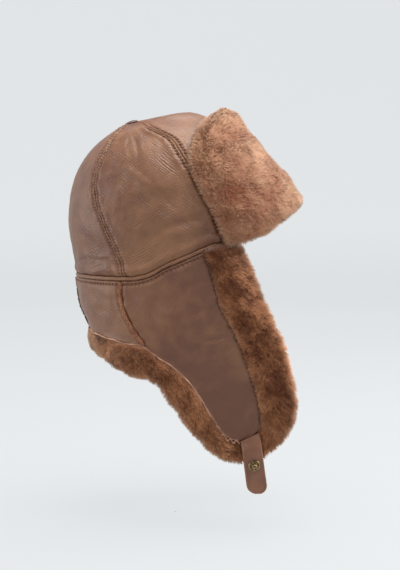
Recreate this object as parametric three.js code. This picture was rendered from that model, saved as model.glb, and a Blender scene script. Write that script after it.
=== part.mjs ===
// A sheepskin flying helmet with a turned-up fur flap at the brow and long ear flaps that hang
// down at the sides. Millimetres, +Z up. The wearer faces -Y and the wearer's right ear is at -X.
// The origin is the middle of the crown's lower edge, on the helmet's plane of symmetry.

import * as THREE from 'three';

// Crown
const CROWN_HALF_LENGTH = 107;
const CROWN_HALF_WIDTH = 89;
const CROWN_HEIGHT = 174;
const BROW_RISE = 76;
const SKIN_THICKNESS = 8;
const TOP_THINNING = 0.4;
const CROWN_EYE = 0.015;
const PIECE_GAP = 0.4;
const SEAM_GAP = 0.6;
const SEAM_STRIP_HEIGHT = 4.4;
const SEAM_STRIP_STAND = 1.1;
const SEAM_STRIP_DEPTH = 6;
const SEAM_STRIP_START = 62;

// Button over the point where the crown's four seams meet
const BUTTON_RADIUS = 8.6;
const BUTTON_HEIGHT = 4.2;
const BUTTON_TILT = 23;
const BUTTON_SEAT = 0.4;
const BUTTON_AHEAD = 1.2;

// Skirt: neck and ear flaps, with their fur trims
const EAR_DROP = 190;
const EAR_REACH = 129;
const TRIM_STAND = 10;
const NAPE_STAND = 6;
const NAPE_FLAT_TURN = 30;
const NAPE_FULL_TURN = 75;
const NAPE_END_GAP = 0.8;
const TRIM_DEPTH = 12;
const TRIM_ROUNDNESS = 2.6;
const WELT_WIDTH = 3.2;
const WELT_HEIGHT = 2.2;
const BACK_WELT_HEIGHT = 1.2;
const WELT_START = 0.03;
const WELT_END_GAP = 0.9;

// Brow flap
const FLAP_FOLD = 1.03;
const FLAP_SAG = 0.03;
const FLAP_TOP = 0.225;
const FLAP_FUR = 30;
const FLAP_ROUNDNESS = 6;
const FLAP_CLEARANCE = 0.8;
const FLAP_LEAN = 5;

// Straps and their snap
const STRAP_WIDTH = 21.5;
const STRAP_THICKNESS = 2.6;
const STRAP_LENGTH = 61;
const STRAP_SWING = 9;
const STRAP_PRESSED = 2;
const PRESSED_REACH = 0.85;
const STRAP_ROUNDING = 0.84;
const SNAP_DOWN = 29;
const SNAP_RADIUS = 6.2;
const SNAP_NUB_RADIUS = 2.5;
const SNAP_NUB_HEIGHT = 3.2;

const LEATHER = 0x785541;
const FUR = 0x8a5638;
const FLAP_COLOUR = 0xbe825f;
const WELT_COLOUR = 0xb47850;
const STRAP_COLOUR = 0x694637;
const BUTTON_COLOUR = 0x3a2b24;
const BRASS = 0x8a6a3c;

// The crown from its top (t = 0) to its lower edge (t = 1). Front, back and middle are places
// along the length as shares of the half length, half is a share of the half width, drop is a
// share of the height and crest is a rise of the front panel as a share of the height.
const CROWN_ROWS = [
  { t: 0.00, drop: 0.058, crest: 0.000, front: 0.458, back: 0.458, middle: 0.458, half: 0.000 },
  { t: 0.10, drop: 0.052, crest: 0.044, front: 0.060, back: 0.500, middle: 0.330, half: 0.170 },
  { t: 0.155, drop: 0.053, crest: 0.064, front: -0.160, back: 0.522, middle: 0.260, half: 0.262 },
  { t: 0.21, drop: 0.062, crest: 0.028, front: -0.355, back: 0.545, middle: 0.206, half: 0.340 },
  { t: 0.29, drop: 0.105, crest: 0.000, front: -0.444, back: 0.645, middle: 0.160, half: 0.530 },
  { t: 0.355, drop: 0.163, crest: 0.000, front: -0.500, back: 0.771, middle: 0.140, half: 0.652 },
  { t: 0.425, drop: 0.233, crest: 0.000, front: -0.565, back: 0.874, middle: 0.140, half: 0.764 },
  { t: 0.505, drop: 0.326, crest: 0.000, front: -0.640, back: 0.977, middle: 0.136, half: 0.865 },
  { t: 0.605, drop: 0.453, crest: 0.000, front: -0.738, back: 1.047, middle: 0.126, half: 0.949 },
  { t: 0.70, drop: 0.581, crest: 0.000, front: -0.818, back: 1.079, middle: 0.103, half: 0.989 },
  { t: 0.79, drop: 0.709, crest: 0.000, front: -0.893, back: 1.079, middle: 0.075, half: 1.011 },
  { t: 0.91, drop: 0.872, crest: 0.000, front: -0.944, back: 1.037, middle: 0.033, half: 1.011 },
  { t: 1.00, drop: 1.000, crest: 0.000, front: -1.000, back: 0.997, middle: 0.000, half: 1.000 },
  { t: 1.10, drop: 1.130, crest: 0.000, front: -1.020, back: 0.980, middle: 0.000, half: 0.995 },
  { t: 1.20, drop: 1.260, crest: 0.000, front: -1.030, back: 0.970, middle: 0.000, half: 0.990 },
];

// Height of the crown's lower edge along its length, as a share of the rise at the brow
const EDGE_ROWS = [
  { along: -1.00, rise: 1.00 },
  { along: -0.80, rise: 0.72 },
  { along: -0.55, rise: 0.535 },
  { along: -0.36, rise: 0.475 },
  { along: -0.19, rise: 0.375 },
  { along: -0.05, rise: 0.290 },
  { along: 0.09, rise: 0.205 },
  { along: 0.20, rise: 0.115 },
  { along: 0.32, rise: 0.060 },
  { along: 0.50, rise: 0.040 },
  { along: 1.00, rise: 0.048 },
];

// Shallow dents in the crown: degrees round from the brow by the wearer's right, the row, how
// wide and tall the dent is and how deep it is in millimetres
const DENT_ROWS = [
  { turn: 118, t: 0.56, wide: 14, tall: 0.06, depth: 1.6 },
  { turn: 94, t: 0.70, wide: 16, tall: 0.05, depth: 1.4 },
  { turn: 150, t: 0.88, wide: 12, tall: 0.05, depth: 1.8 },
  { turn: 160, t: 0.60, wide: 10, tall: 0.08, depth: 1.2 },
  { turn: 204, t: 0.84, wide: 13, tall: 0.05, depth: 1.8 },
  { turn: 246, t: 0.60, wide: 14, tall: 0.06, depth: 1.6 },
  { turn: 270, t: 0.76, wide: 16, tall: 0.05, depth: 1.4 },
];

// Where the crown's seams run, in degrees round from the brow, by the crown's own rows
const SEAM_ROWS = [
  { t: 0.00, front: 116, back: 152 },
  { t: 0.20, front: 107, back: 150 },
  { t: 0.30, front: 93, back: 145 },
  { t: 0.38, front: 80, back: 138 },
  { t: 0.46, front: 75, back: 136 },
  { t: 0.565, front: 70.5, back: 135.5 },
  { t: 0.68, front: 66.5, back: 131 },
  { t: 0.79, front: 63.2, back: 125 },
  { t: 0.90, front: 61.2, back: 120 },
  { t: 1.00, front: 60.5, back: 118.5 },
];

// The skirt by its drop below the origin, as shares of the ear flap's drop. Half, front and back
// are the section's reaches as shares of the crown's, and the powers say how square it is.
const SKIRT_ROWS = [
  { drop: -0.30, half: 1.000, front: 1.00, back: 1.000, frontPower: 1.00, backPower: 1.00 },
  { drop: -0.16, half: 1.000, front: 1.00, back: 1.000, frontPower: 1.00, backPower: 1.00 },
  { drop: 0.00, half: 1.000, front: 1.15, back: 0.998, frontPower: 0.94, backPower: 1.00 },
  { drop: 0.16, half: 0.998, front: 1.48, back: 0.958, frontPower: 0.78, backPower: 0.95 },
  { drop: 0.28, half: 0.990, front: 1.66, back: 0.868, frontPower: 0.64, backPower: 0.88 },
  { drop: 0.40, half: 0.978, front: 1.76, back: 0.805, frontPower: 0.52, backPower: 0.84 },
  { drop: 0.58, half: 0.955, front: 1.80, back: 0.765, frontPower: 0.42, backPower: 0.82 },
  { drop: 0.82, half: 0.915, front: 1.80, back: 0.740, frontPower: 0.38, backPower: 0.80 },
  { drop: 1.15, half: 0.880, front: 1.80, back: 0.740, frontPower: 0.36, backPower: 0.80 },
];

// The seam between neck and ear flap, as shares of its own length down: degrees from the brow
const NECK_SEAM_ROWS = [
  { down: 0.00, turn: 120.2 },
  { down: 0.20, turn: 121.0 },
  { down: 0.42, turn: 120.4 },
  { down: 0.62, turn: 118.4 },
  { down: 0.80, turn: 115.2 },
  { down: 1.00, turn: 109.4 },
];

// The hem of the neck flap and the lower edge of its fur trim, by degrees from the middle of the
// back, as shares of the ear flap's drop
const NAPE_ROWS = [
  { turn: 0, hem: 0.279, edge: 0.412 },
  { turn: 30, hem: 0.300, edge: 0.446 },
  { turn: 50, hem: 0.326, edge: 0.496 },
  { turn: 65, hem: 0.343, edge: 0.528 },
  { turn: 71, hem: 0.352, edge: 0.533 },
  { turn: 76.5, hem: 0.386, edge: 0.552 },
];

// The ear flap's fur trim from the temple, down the front, round the tip and up the back. Hem is
// the leather's edge and edge the fur's: forward from the neck seam's lower end (0) to the ear
// flap's reach (1), and drop as shares of its drop. The first row's hem lies on the crown's edge.
const TRIM_ROWS = [
  { hemForward: 0.3875, hemDrop: -0.1655, edgeForward: 0.6335, edgeDrop: -0.192 },
  { hemForward: 0.4535, hemDrop: -0.016, edgeForward: 0.7158, edgeDrop: -0.032 },
  { hemForward: 0.5105, hemDrop: 0.142, edgeForward: 0.8045, edgeDrop: 0.142 },
  { hemForward: 0.6026, hemDrop: 0.284, edgeForward: 0.8990, edgeDrop: 0.321 },
  { hemForward: 0.6783, hemDrop: 0.453, edgeForward: 0.9650, edgeDrop: 0.500 },
  { hemForward: 0.7475, hemDrop: 0.637, edgeForward: 1.0000, edgeDrop: 0.684 },
  { hemForward: 0.7663, hemDrop: 0.768, edgeForward: 0.9495, edgeDrop: 0.842 },
  { hemForward: 0.7288, hemDrop: 0.836, edgeForward: 0.7980, edgeDrop: 0.963 },
  { hemForward: 0.6221, hemDrop: 0.870, edgeForward: 0.6335, edgeDrop: 1.005 },
  { hemForward: 0.5138, hemDrop: 0.832, edgeForward: 0.4511, edgeDrop: 0.953 },
  { hemForward: 0.4128, hemDrop: 0.703, edgeForward: 0.2800, edgeDrop: 0.800 },
  { hemForward: 0.3118, hemDrop: 0.568, edgeForward: 0.1668, edgeDrop: 0.666 },
  { hemForward: 0.2043, hemDrop: 0.474, edgeForward: 0.0944, edgeDrop: 0.576 },
  { hemForward: 0.0593, hemDrop: 0.387, edgeForward: 0.0715, edgeDrop: 0.553 },
];
const TIP_FRONT = 6.75;
const TIP_BACK = 8;
const TRIM_RISE_ROWS = 5;

// The ear flap's rows of cells, and the share of its length that the neck seam takes
const EAR_CELLS = 15;
const EAR_CELLS_ACROSS = 8;
const SEAM_SHARE = 0.4;
const SEAM_CELLS = EAR_CELLS * SEAM_SHARE;
const NECK_CELLS_ACROSS = 9;

// How finely the other pieces are divided
const CROWN_CELLS = 12;
const WIDE_PANEL_CELLS = 14;
const SIDE_PANEL_CELLS = 9;
const STRIP_STATIONS = 46;
const NAPE_STATIONS = 28;
const TRIM_RING_POINTS = 12;
const WELT_STATIONS = 10;
const FLAP_CELLS_UP = 12;
const FLAP_CELLS_ACROSS = 18;
const STRAP_CELLS = 14;
const TURNED_SEGMENTS = 20;

// The brow flap by the crown's rows: its ends in degrees from the brow and its thickness at the
// middle and at the ends, as shares of its fur
const FLAP_ROWS = [
  { t: 0.20, end: 22, middle: 0.75, side: 0.50 },
  { t: 0.25, end: 34, middle: 0.81, side: 0.46 },
  { t: 0.33, end: 53, middle: 0.81, side: 0.42 },
  { t: 0.42, end: 63, middle: 0.75, side: 0.40 },
  { t: 0.52, end: 69, middle: 0.68, side: 0.40 },
  { t: 0.63, end: 69.5, middle: 0.66, side: 0.40 },
  { t: 0.77, end: 66, middle: 0.80, side: 0.42 },
  { t: 0.90, end: 62.5, middle: 1.04, side: 0.46 },
  { t: 1.00, end: 61, middle: 1.17, side: 0.52 },
  { t: 1.20, end: 60, middle: 1.17, side: 0.54 },
];

const RIGHT = -1;
const LEFT = 1;
const rad = THREE.MathUtils.degToRad;
const lerp = THREE.MathUtils.lerp;

// A smooth curve through one column of a table, against another column
function column(rows, key, name) {
  const keys = rows.map((row) => row[key]);
  const values = rows.map((row) => row[name]);
  const last = rows.length - 1;
  const step = (i) => (values[i + 1] - values[i]) / (keys[i + 1] - keys[i]);
  const slopes = keys.map((_, i) => {
    if (i === 0) return step(0);
    if (i === last) return step(last - 1);
    return (step(i - 1) + step(i)) / 2;
  });
  return (at) => {
    const x = THREE.MathUtils.clamp(at, keys[0], keys[last]);
    let i = 0;
    while (i < last - 1 && x > keys[i + 1]) i += 1;
    const width = keys[i + 1] - keys[i];
    const s = (x - keys[i]) / width;
    const away = 1 - s;
    return (
      values[i] * away * away * (1 + 2 * s) +
      values[i + 1] * s * s * (3 - 2 * s) +
      width * s * away * (slopes[i] * away - slopes[i + 1] * s)
    );
  };
}

// A table whose rows are taken one after another, by their number
function numbered(rows) {
  return rows.map((row, at) => ({ at, ...row }));
}

function columns(rows, key) {
  const names = Object.keys(rows[0]).filter((name) => name !== key);
  return Object.fromEntries(names.map((name) => [name, column(rows, key, name)]));
}

const crownShape = columns(CROWN_ROWS, 't');
const edgeShape = columns(EDGE_ROWS, 'along');
const seamShape = columns(SEAM_ROWS, 't');
const skirtShape = columns(SKIRT_ROWS, 'drop');
const neckSeamShape = columns(NECK_SEAM_ROWS, 'down');
const napeShape = columns(NAPE_ROWS, 'turn');
const trimShape = columns(numbered(TRIM_ROWS), 'at');
const flapShape = columns(FLAP_ROWS, 't');

function edgeHeight(y) {
  return BROW_RISE * edgeShape.rise(y / CROWN_HALF_LENGTH);
}

// A point on the crown's outer face: degrees round from the brow, and t from the top
function crownPoint(side, degrees, t) {
  const angle = rad(degrees);
  const ahead = Math.cos(angle);
  const front = crownShape.front(t);
  const back = crownShape.back(t);
  const middle = crownShape.middle(t);
  const reach = ahead > 0 ? middle - front : back - middle;
  const y = CROWN_HALF_LENGTH * (middle - reach * ahead);
  const x = side * CROWN_HALF_WIDTH * crownShape.half(t) * Math.sin(angle);
  const edge = edgeHeight(-CROWN_HALF_LENGTH * ahead) + SEAM_STRIP_HEIGHT / 2;
  const crest = CROWN_HEIGHT * crownShape.crest(t) * ((1 + ahead) / 2) ** 1.5;
  const z = CROWN_HEIGHT - (CROWN_HEIGHT - edge) * crownShape.drop(t) + crest;
  return new THREE.Vector3(x, y, z);
}

// A point on the skirt's outer face: degrees round from the brow, and the height
function skirtPoint(side, degrees, z) {
  const drop = -z / EAR_DROP;
  const angle = rad(degrees);
  const ahead = Math.cos(angle);
  const reach = ahead > 0 ? skirtShape.front(drop) : skirtShape.back(drop);
  const power = ahead > 0 ? skirtShape.frontPower(drop) : skirtShape.backPower(drop);
  const x = side * CROWN_HALF_WIDTH * skirtShape.half(drop) * Math.max(Math.sin(angle), 0) ** power;
  return new THREE.Vector3(x, -CROWN_HALF_LENGTH * reach * ahead, z);
}

// The skirt's turn in degrees at a place given by its length and height
function skirtTurn(y, z) {
  const drop = -z / EAR_DROP;
  const reach = y < 0 ? skirtShape.front(drop) : skirtShape.back(drop);
  const ahead = THREE.MathUtils.clamp(-y / (CROWN_HALF_LENGTH * reach), -1, 1);
  return THREE.MathUtils.radToDeg(Math.acos(ahead));
}

// The outward normal of a surface given as a function of two numbers
function normalOf(surface, a, b, stepA, stepB) {
  const alongA = surface(a + stepA, b).sub(surface(a - stepA, b));
  const alongB = surface(a, b + stepB).sub(surface(a, b - stepB));
  const normal = alongA.cross(alongB).normalize();
  const outward = surface(a, b);
  outward.z *= 0.2;
  return normal.dot(outward) < 0 ? normal.negate() : normal;
}

function crownNormal(side, degrees, t) {
  return normalOf((a, b) => crownPoint(side, a, b), degrees, Math.max(t, 0.02), 0.5, 0.004);
}

function skirtNormal(side, degrees, z) {
  const inner = THREE.MathUtils.clamp(degrees, 1, 179);
  return normalOf((a, b) => skirtPoint(side, a, b), inner, z, 0.5, 0.5);
}

// A closed mesh from rings or grids of points, facing outward
class Solid {
  constructor() {
    this.points = [];
    this.faces = [];
  }

  add(point) {
    this.points.push(point);
    return this.points.length - 1;
  }

  quad(a, b, c, d) {
    this.faces.push([a, b, c], [a, c, d]);
  }

  volume() {
    const [a, b, c] = [new THREE.Vector3(), new THREE.Vector3(), new THREE.Vector3()];
    return this.faces.reduce((sum, face) => {
      a.copy(this.points[face[0]]);
      b.copy(this.points[face[1]]);
      c.copy(this.points[face[2]]);
      return sum + a.dot(b.cross(c)) / 6;
    }, 0);
  }

  geometry() {
    const facing = this.volume() < 0 ? this.faces.map(([a, b, c]) => [a, c, b]) : this.faces;
    const made = new THREE.BufferGeometry();
    made.setFromPoints(this.points);
    made.setIndex(facing.flat());
    made.computeVertexNormals();
    return made;
  }
}

// A closed wall from two grids of points of one size, joined round their edges. Where the grids
// share their edges, the points there are shared too.
function wall(outer, inner, shared = false) {
  const solid = new Solid();
  const rows = outer.length - 1;
  const cells = outer[0].length - 1;
  const onEdge = (i, j) => i === 0 || j === 0 || i === rows || j === cells;
  const top = outer.map((line) => line.map((point) => solid.add(point)));
  const base = inner.map((line, i) =>
    line.map((point, j) => (shared && onEdge(i, j) ? top[i][j] : solid.add(point))),
  );
  for (let i = 0; i < rows; i += 1) {
    for (let j = 0; j < cells; j += 1) {
      solid.quad(top[i][j], top[i][j + 1], top[i + 1][j + 1], top[i + 1][j]);
      solid.quad(base[i][j], base[i + 1][j], base[i + 1][j + 1], base[i][j + 1]);
    }
  }
  if (shared) return solid.geometry();
  for (let j = 0; j < cells; j += 1) {
    solid.quad(top[0][j + 1], top[0][j], base[0][j], base[0][j + 1]);
    solid.quad(top[rows][j], top[rows][j + 1], base[rows][j + 1], base[rows][j]);
  }
  for (let i = 0; i < rows; i += 1) {
    solid.quad(top[i][0], top[i + 1][0], base[i + 1][0], base[i][0]);
    solid.quad(base[i + 1][cells], top[i + 1][cells], top[i][cells], base[i][cells]);
  }
  return solid.geometry();
}

// A closed bar from a row of rings of points, with flat ends
function bar(rings) {
  const solid = new Solid();
  const count = rings[0].length;
  const placed = rings.map((ring) => ring.map((point) => solid.add(point)));
  for (let i = 0; i + 1 < placed.length; i += 1) {
    for (let j = 0; j < count; j += 1) {
      const next = (j + 1) % count;
      solid.quad(placed[i][j], placed[i][next], placed[i + 1][next], placed[i + 1][j]);
    }
  }
  const first = placed[0];
  const end = placed[placed.length - 1];
  for (let j = 1; j + 1 < count; j += 1) {
    solid.faces.push([first[0], first[j + 1], first[j]], [end[0], end[j], end[j + 1]]);
  }
  return solid.geometry();
}

function grid(rows, cells, place) {
  return Array.from({ length: rows + 1 }, (_, i) =>
    Array.from({ length: cells + 1 }, (_unused, j) => place(i / rows, j / cells)),
  );
}

const helmet = new THREE.Group();

function addPiece(name, geometry, colour, roughness, metalness = 0) {
  const material = new THREE.MeshStandardMaterial({ color: colour, roughness, metalness });
  const mesh = new THREE.Mesh(geometry, material);
  mesh.name = name;
  helmet.add(mesh);
  return mesh;
}

// The way across a panel at a turn in degrees, along which its edges draw back from the seams
function acrossPanel(place, degrees) {
  return place(degrees + 0.5).sub(place(degrees - 0.5)).normalize();
}

// The crown's skin is pressed thinner where its seams run together at the top
function crownThickness(t) {
  return SKIN_THICKNESS * lerp(TOP_THINNING, 1, THREE.MathUtils.smoothstep(t, 0.05, 0.4));
}

function crownDent(side, degrees, t) {
  const turn = side === RIGHT ? degrees : 360 - degrees;
  return DENT_ROWS.reduce((sum, dent) => {
    const away = ((turn - dent.turn) / dent.wide) ** 2 + ((t - dent.t) / dent.tall) ** 2;
    return sum + dent.depth * Math.exp(-away);
  }, 0);
}

// One panel of the crown, between two seams given in degrees as functions of t
function crownPanel(side, from, to, cells) {
  const place = (inward) => (down, across) => {
    const t = lerp(CROWN_EYE, 1, down ** 1.15);
    const degrees = lerp(from(t), to(t), across);
    const normal = crownNormal(side, degrees, t);
    const onward = acrossPanel((turn) => crownPoint(side, turn, t), degrees);
    return crownPoint(side, degrees, t)
      .addScaledVector(normal, -inward * crownThickness(t) - crownDent(side, degrees, t))
      .addScaledVector(onward, SEAM_GAP * (0.5 - across));
  };
  return wall(grid(CROWN_CELLS, cells, place(0)), grid(CROWN_CELLS, cells, place(1)));
}

function addCrown() {
  const { front, back } = seamShape;
  const backFar = (t) => 360 - back(t);
  const frontFar = (t) => -front(t);
  addPiece('crown_panel_front', crownPanel(RIGHT, frontFar, front, WIDE_PANEL_CELLS), LEATHER, 0.6);
  addPiece('crown_panel_right', crownPanel(RIGHT, front, back, SIDE_PANEL_CELLS), LEATHER, 0.6);
  addPiece('crown_panel_left', crownPanel(LEFT, front, back, SIDE_PANEL_CELLS), LEATHER, 0.6);
  addPiece('crown_panel_back', crownPanel(RIGHT, back, backFar, WIDE_PANEL_CELLS), LEATHER, 0.6);
}

function addButton() {
  const r = BUTTON_RADIUS;
  const h = BUTTON_HEIGHT;
  const profile = new THREE.Shape();
  profile.moveTo(0, 0);
  profile.lineTo(0.8 * r, 0);
  profile.quadraticCurveTo(r, 0.05 * h, r, 0.3 * h);
  profile.quadraticCurveTo(0.96 * r, 0.8 * h, 0, h);
  const geometry = new THREE.LatheGeometry(profile.getPoints(4), TURNED_SEGMENTS);
  const button = addPiece('crown_button', geometry, BUTTON_COLOUR, 0.5);
  button.rotation.set(rad(90 - BUTTON_TILT), 0, 0);
  const top = crownPoint(RIGHT, 0, 0);
  button.position.set(0, top.y - BUTTON_AHEAD, top.z + BUTTON_SEAT);
}

// The folded strip that is sewn into the seam below the crown, from temple to temple
function addSeamStrip() {
  const half = SEAM_STRIP_HEIGHT / 2 - SEAM_GAP;
  const offsets = [-SEAM_STRIP_DEPTH, 0, SEAM_STRIP_STAND];
  const rings = Array.from({ length: STRIP_STATIONS + 1 }, (_, i) => {
    const degrees = lerp(SEAM_STRIP_START, 360 - SEAM_STRIP_START, i / STRIP_STATIONS);
    const normal = crownNormal(RIGHT, degrees, 1).setZ(0).normalize();
    const seam = crownPoint(RIGHT, degrees, 1);
    seam.z -= SEAM_STRIP_HEIGHT / 2;
    const at = (offset, height) => seam.clone().addScaledVector(normal, offset).setZ(seam.z + height);
    const [inside, face, stand] = offsets;
    return [at(inside, -half), at(face, -half), at(stand, -0.6 * half), at(stand, 0.6 * half),
      at(face, half), at(inside, half)];
  });
  addPiece('seam_strip', bar(rings), LEATHER, 0.6);
}

// Height of the skirt's upper edge at a turn in degrees
function skirtTop(degrees) {
  return edgeHeight(-CROWN_HALF_LENGTH * Math.cos(rad(degrees))) - SEAM_STRIP_HEIGHT / 2;
}

function hemHeight(degrees) {
  return -EAR_DROP * napeShape.hem(180 - degrees);
}

// The seam between neck and ear flap, from its upper end (0) to the hem (1)
function neckSeam(down) {
  const degrees = neckSeamShape.turn(down);
  return { degrees, z: lerp(skirtTop(degrees), hemHeight(degrees), down) };
}

function neckPanel(side) {
  const place = (offset) => (down, across) => {
    const degrees = lerp(180, neckSeam(down).degrees, across);
    const z = lerp(skirtTop(degrees), hemHeight(degrees) + PIECE_GAP, down);
    const normal = skirtNormal(side, degrees, z);
    if (across === 0) normal.setX(0).normalize();
    const onward = acrossPanel((turn) => skirtPoint(side, turn, z), degrees).negate();
    return skirtPoint(side, degrees, z)
      .addScaledVector(normal, offset)
      .addScaledVector(onward, SEAM_GAP * (0.5 - across));
  };
  const faces = [0, -SKIN_THICKNESS].map((offset) => grid(SEAM_CELLS, NECK_CELLS_ACROSS, place(offset)));
  return wall(...faces);
}

// A place on the side of the skirt as length and height
function sidePlace(forward, drop) {
  const seam = neckSeam(1);
  const start = skirtPoint(RIGHT, seam.degrees, seam.z).y;
  return new THREE.Vector2(lerp(start, -EAR_REACH, forward), -EAR_DROP * drop);
}

// How far the trim's upper rows move up or down so that the first one meets the crown's edge
function trimRise(at) {
  const top = sidePlace(trimShape.hemForward(0), trimShape.hemDrop(0));
  return topShortfall(top) * Math.max(0, 1 - at / TRIM_RISE_ROWS) ** 2;
}

function trimHem(at) {
  const hem = sidePlace(trimShape.hemForward(at), trimShape.hemDrop(at));
  return hem.setY(hem.y + trimRise(at));
}

function trimEdge(at) {
  const edge = sidePlace(trimShape.edgeForward(at), trimShape.edgeDrop(at));
  return edge.setY(edge.y + trimRise(at));
}

function onSkirt(side, place, offset) {
  const degrees = skirtTurn(place.x, place.y);
  const normal = skirtNormal(side, degrees, place.y);
  return skirtPoint(side, degrees, place.y).addScaledVector(normal, offset);
}

// The ear flap's back edge from the crown's edge (0), down the neck seam, to the tip (1)
function earBack(down) {
  if (down <= SEAM_SHARE) {
    const seam = neckSeam(down / SEAM_SHARE);
    const point = skirtPoint(RIGHT, seam.degrees, seam.z);
    return new THREE.Vector2(point.y, point.z);
  }
  return trimHem(backStation(down));
}

// Places along the trim's rows that match the ear flap's shares down its front and its back
function frontStation(down) {
  return lerp(0, TIP_FRONT, down);
}

function backStation(down) {
  return lerp(TRIM_ROWS.length - 1, TIP_BACK, (down - SEAM_SHARE) / (1 - SEAM_SHARE));
}

// How far the crown's edge lies above a place on the ear flap's upper end
function topShortfall(place) {
  return edgeHeight(place.x) - SEAM_STRIP_HEIGHT / 2 - place.y;
}

function earPanel(side) {
  const [topBack, topFront] = [earBack(0), trimHem(0)];
  const place = (offset) => (down, across) => {
    const back = earBack(down);
    const front = trimHem(frontStation(down));
    const width = Math.max(back.distanceTo(front), STRAP_WIDTH);
    const share = lerp(SEAM_GAP / 2 / width, 1 - PIECE_GAP / width, across);
    const point = back.clone().lerp(front, share);
    const top = topBack.clone().lerp(topFront, share);
    const ends = lerp(topShortfall(topBack), topShortfall(topFront), share);
    point.y += (topShortfall(top) - ends) * (1 - down) ** 3;
    return onSkirt(side, point, offset);
  };
  const faces = [0, -SKIN_THICKNESS].map((offset) => grid(EAR_CELLS, EAR_CELLS_ACROSS, place(offset)));
  return wall(...faces);
}

// A rounded section of fur on the skirt's face: place gives a point there for a share across
// from the leather's edge to the fur's edge, and an offset from the face
function furRing(place, width, stand) {
  const power = 2 / TRIM_ROUNDNESS;
  const rounded = (value) => Math.sign(value) * Math.abs(value) ** power;
  const lift = (stand - TRIM_DEPTH) / 2;
  const height = (stand + TRIM_DEPTH) / 2;
  const start = PIECE_GAP / width;
  return Array.from({ length: TRIM_RING_POINTS }, (_, i) => {
    const angle = ((i + 0.5) / TRIM_RING_POINTS) * 2 * Math.PI;
    const across = lerp(start, 1, (1 - rounded(Math.cos(angle))) / 2);
    return place(across, lift + height * rounded(Math.sin(angle)));
  });
}

// How far the fur stands off the face: the strap presses it down at the ear flap's tip
function trimStand(at) {
  const away = Math.abs(at - (TIP_FRONT + TIP_BACK) / 2);
  const free = THREE.MathUtils.smoothstep(away, PRESSED_REACH, 2 * PRESSED_REACH);
  return lerp(STRAP_PRESSED, TRIM_STAND, free);
}

function earTrim(side) {
  const downs = Array.from({ length: EAR_CELLS + 1 }, (_, i) => i / EAR_CELLS);
  const fronts = downs.map(frontStation);
  const backs = downs.filter((down) => down > SEAM_SHARE).map(backStation).reverse();
  const stations = [...fronts, lerp(TIP_FRONT, TIP_BACK, 0.5), ...backs, TRIM_ROWS.length - 1];
  const rings = stations.map((at) => {
    const hem = trimHem(at);
    const edge = trimEdge(at);
    const place = (across, offset) => onSkirt(side, hem.clone().lerp(edge, across), offset);
    return furRing(place, hem.distanceTo(edge), trimStand(at));
  });
  return bar(rings);
}

function napeTrim() {
  const end = NAPE_ROWS[NAPE_ROWS.length - 1].turn - NAPE_END_GAP;
  const rings = Array.from({ length: NAPE_STATIONS + 1 }, (_, i) => {
    const turn = lerp(-end, end, i / NAPE_STATIONS);
    const side = turn < 0 ? RIGHT : LEFT;
    const degrees = 180 - Math.abs(turn);
    const hem = -EAR_DROP * napeShape.hem(Math.abs(turn));
    const edge = -EAR_DROP * napeShape.edge(Math.abs(turn));
    const place = (across, offset) => {
      const z = lerp(hem, edge, across);
      const normal = skirtNormal(side, degrees, z);
      if (degrees > 179.9) normal.setX(0).normalize();
      return skirtPoint(side, degrees, z).addScaledVector(normal, offset);
    };
    const sideways = THREE.MathUtils.smoothstep(Math.abs(turn), NAPE_FLAT_TURN, NAPE_FULL_TURN);
    return furRing(place, hem - edge, lerp(NAPE_STAND, TRIM_STAND, sideways));
  });
  return bar(rings);
}

// Shares of a skirt seam's length at which its raw edge shows, for a seam of a length
function weltShares(length) {
  const end = 1 - WELT_END_GAP / length;
  return Array.from({ length: WELT_STATIONS + 1 }, (_, i) => lerp(WELT_START, end, i / WELT_STATIONS));
}

// A raw seam edge that stands on the outside of the skin, along a row of places
function welt(places, rise) {
  const rings = places.map(({ point, normal }, i) => {
    const before = places[Math.max(i - 1, 0)].point;
    const after = places[Math.min(i + 1, places.length - 1)].point;
    const along = after.clone().sub(before).normalize();
    const across = along.clone().cross(normal).normalize();
    const at = (sideways, height) => point
      .clone()
      .addScaledVector(across, sideways * WELT_WIDTH / 2)
      .addScaledVector(normal, PIECE_GAP + height * rise);
    return [at(-1, 0), at(1, 0), at(0.9, 0.75), at(0.4, 1), at(-0.4, 1), at(-0.9, 0.75)];
  });
  return bar(rings);
}

function addSkirt() {
  const sides = [['right', RIGHT], ['left', LEFT]];
  for (const [word, side] of sides) {
    addPiece(`neck_panel_${word}`, neckPanel(side), LEATHER, 0.6);
    addPiece(`ear_panel_${word}`, earPanel(side), LEATHER, 0.6);
    const seam = weltShares(neckSeam(0).z - neckSeam(1).z).map((down) => {
      const { degrees, z } = neckSeam(down);
      return { point: skirtPoint(side, degrees, z), normal: skirtNormal(side, degrees, z) };
    });
    addPiece(`neck_seam_welt_${word}`, welt(seam, WELT_HEIGHT), WELT_COLOUR, 0.9);
    addPiece(`ear_trim_${word}`, earTrim(side), FUR, 0.9);
  }
  const middle = weltShares(skirtTop(180) - hemHeight(180)).map((down) => {
    const z = lerp(skirtTop(180), hemHeight(180), down);
    const normal = skirtNormal(RIGHT, 179, z).setX(0).normalize();
    return { point: skirtPoint(RIGHT, 180, z), normal };
  });
  addPiece('back_seam_welt', welt(middle, BACK_WELT_HEIGHT), STRAP_COLOUR, 0.9);
  addPiece('nape_trim', napeTrim(), FUR, 0.9);
}

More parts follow.
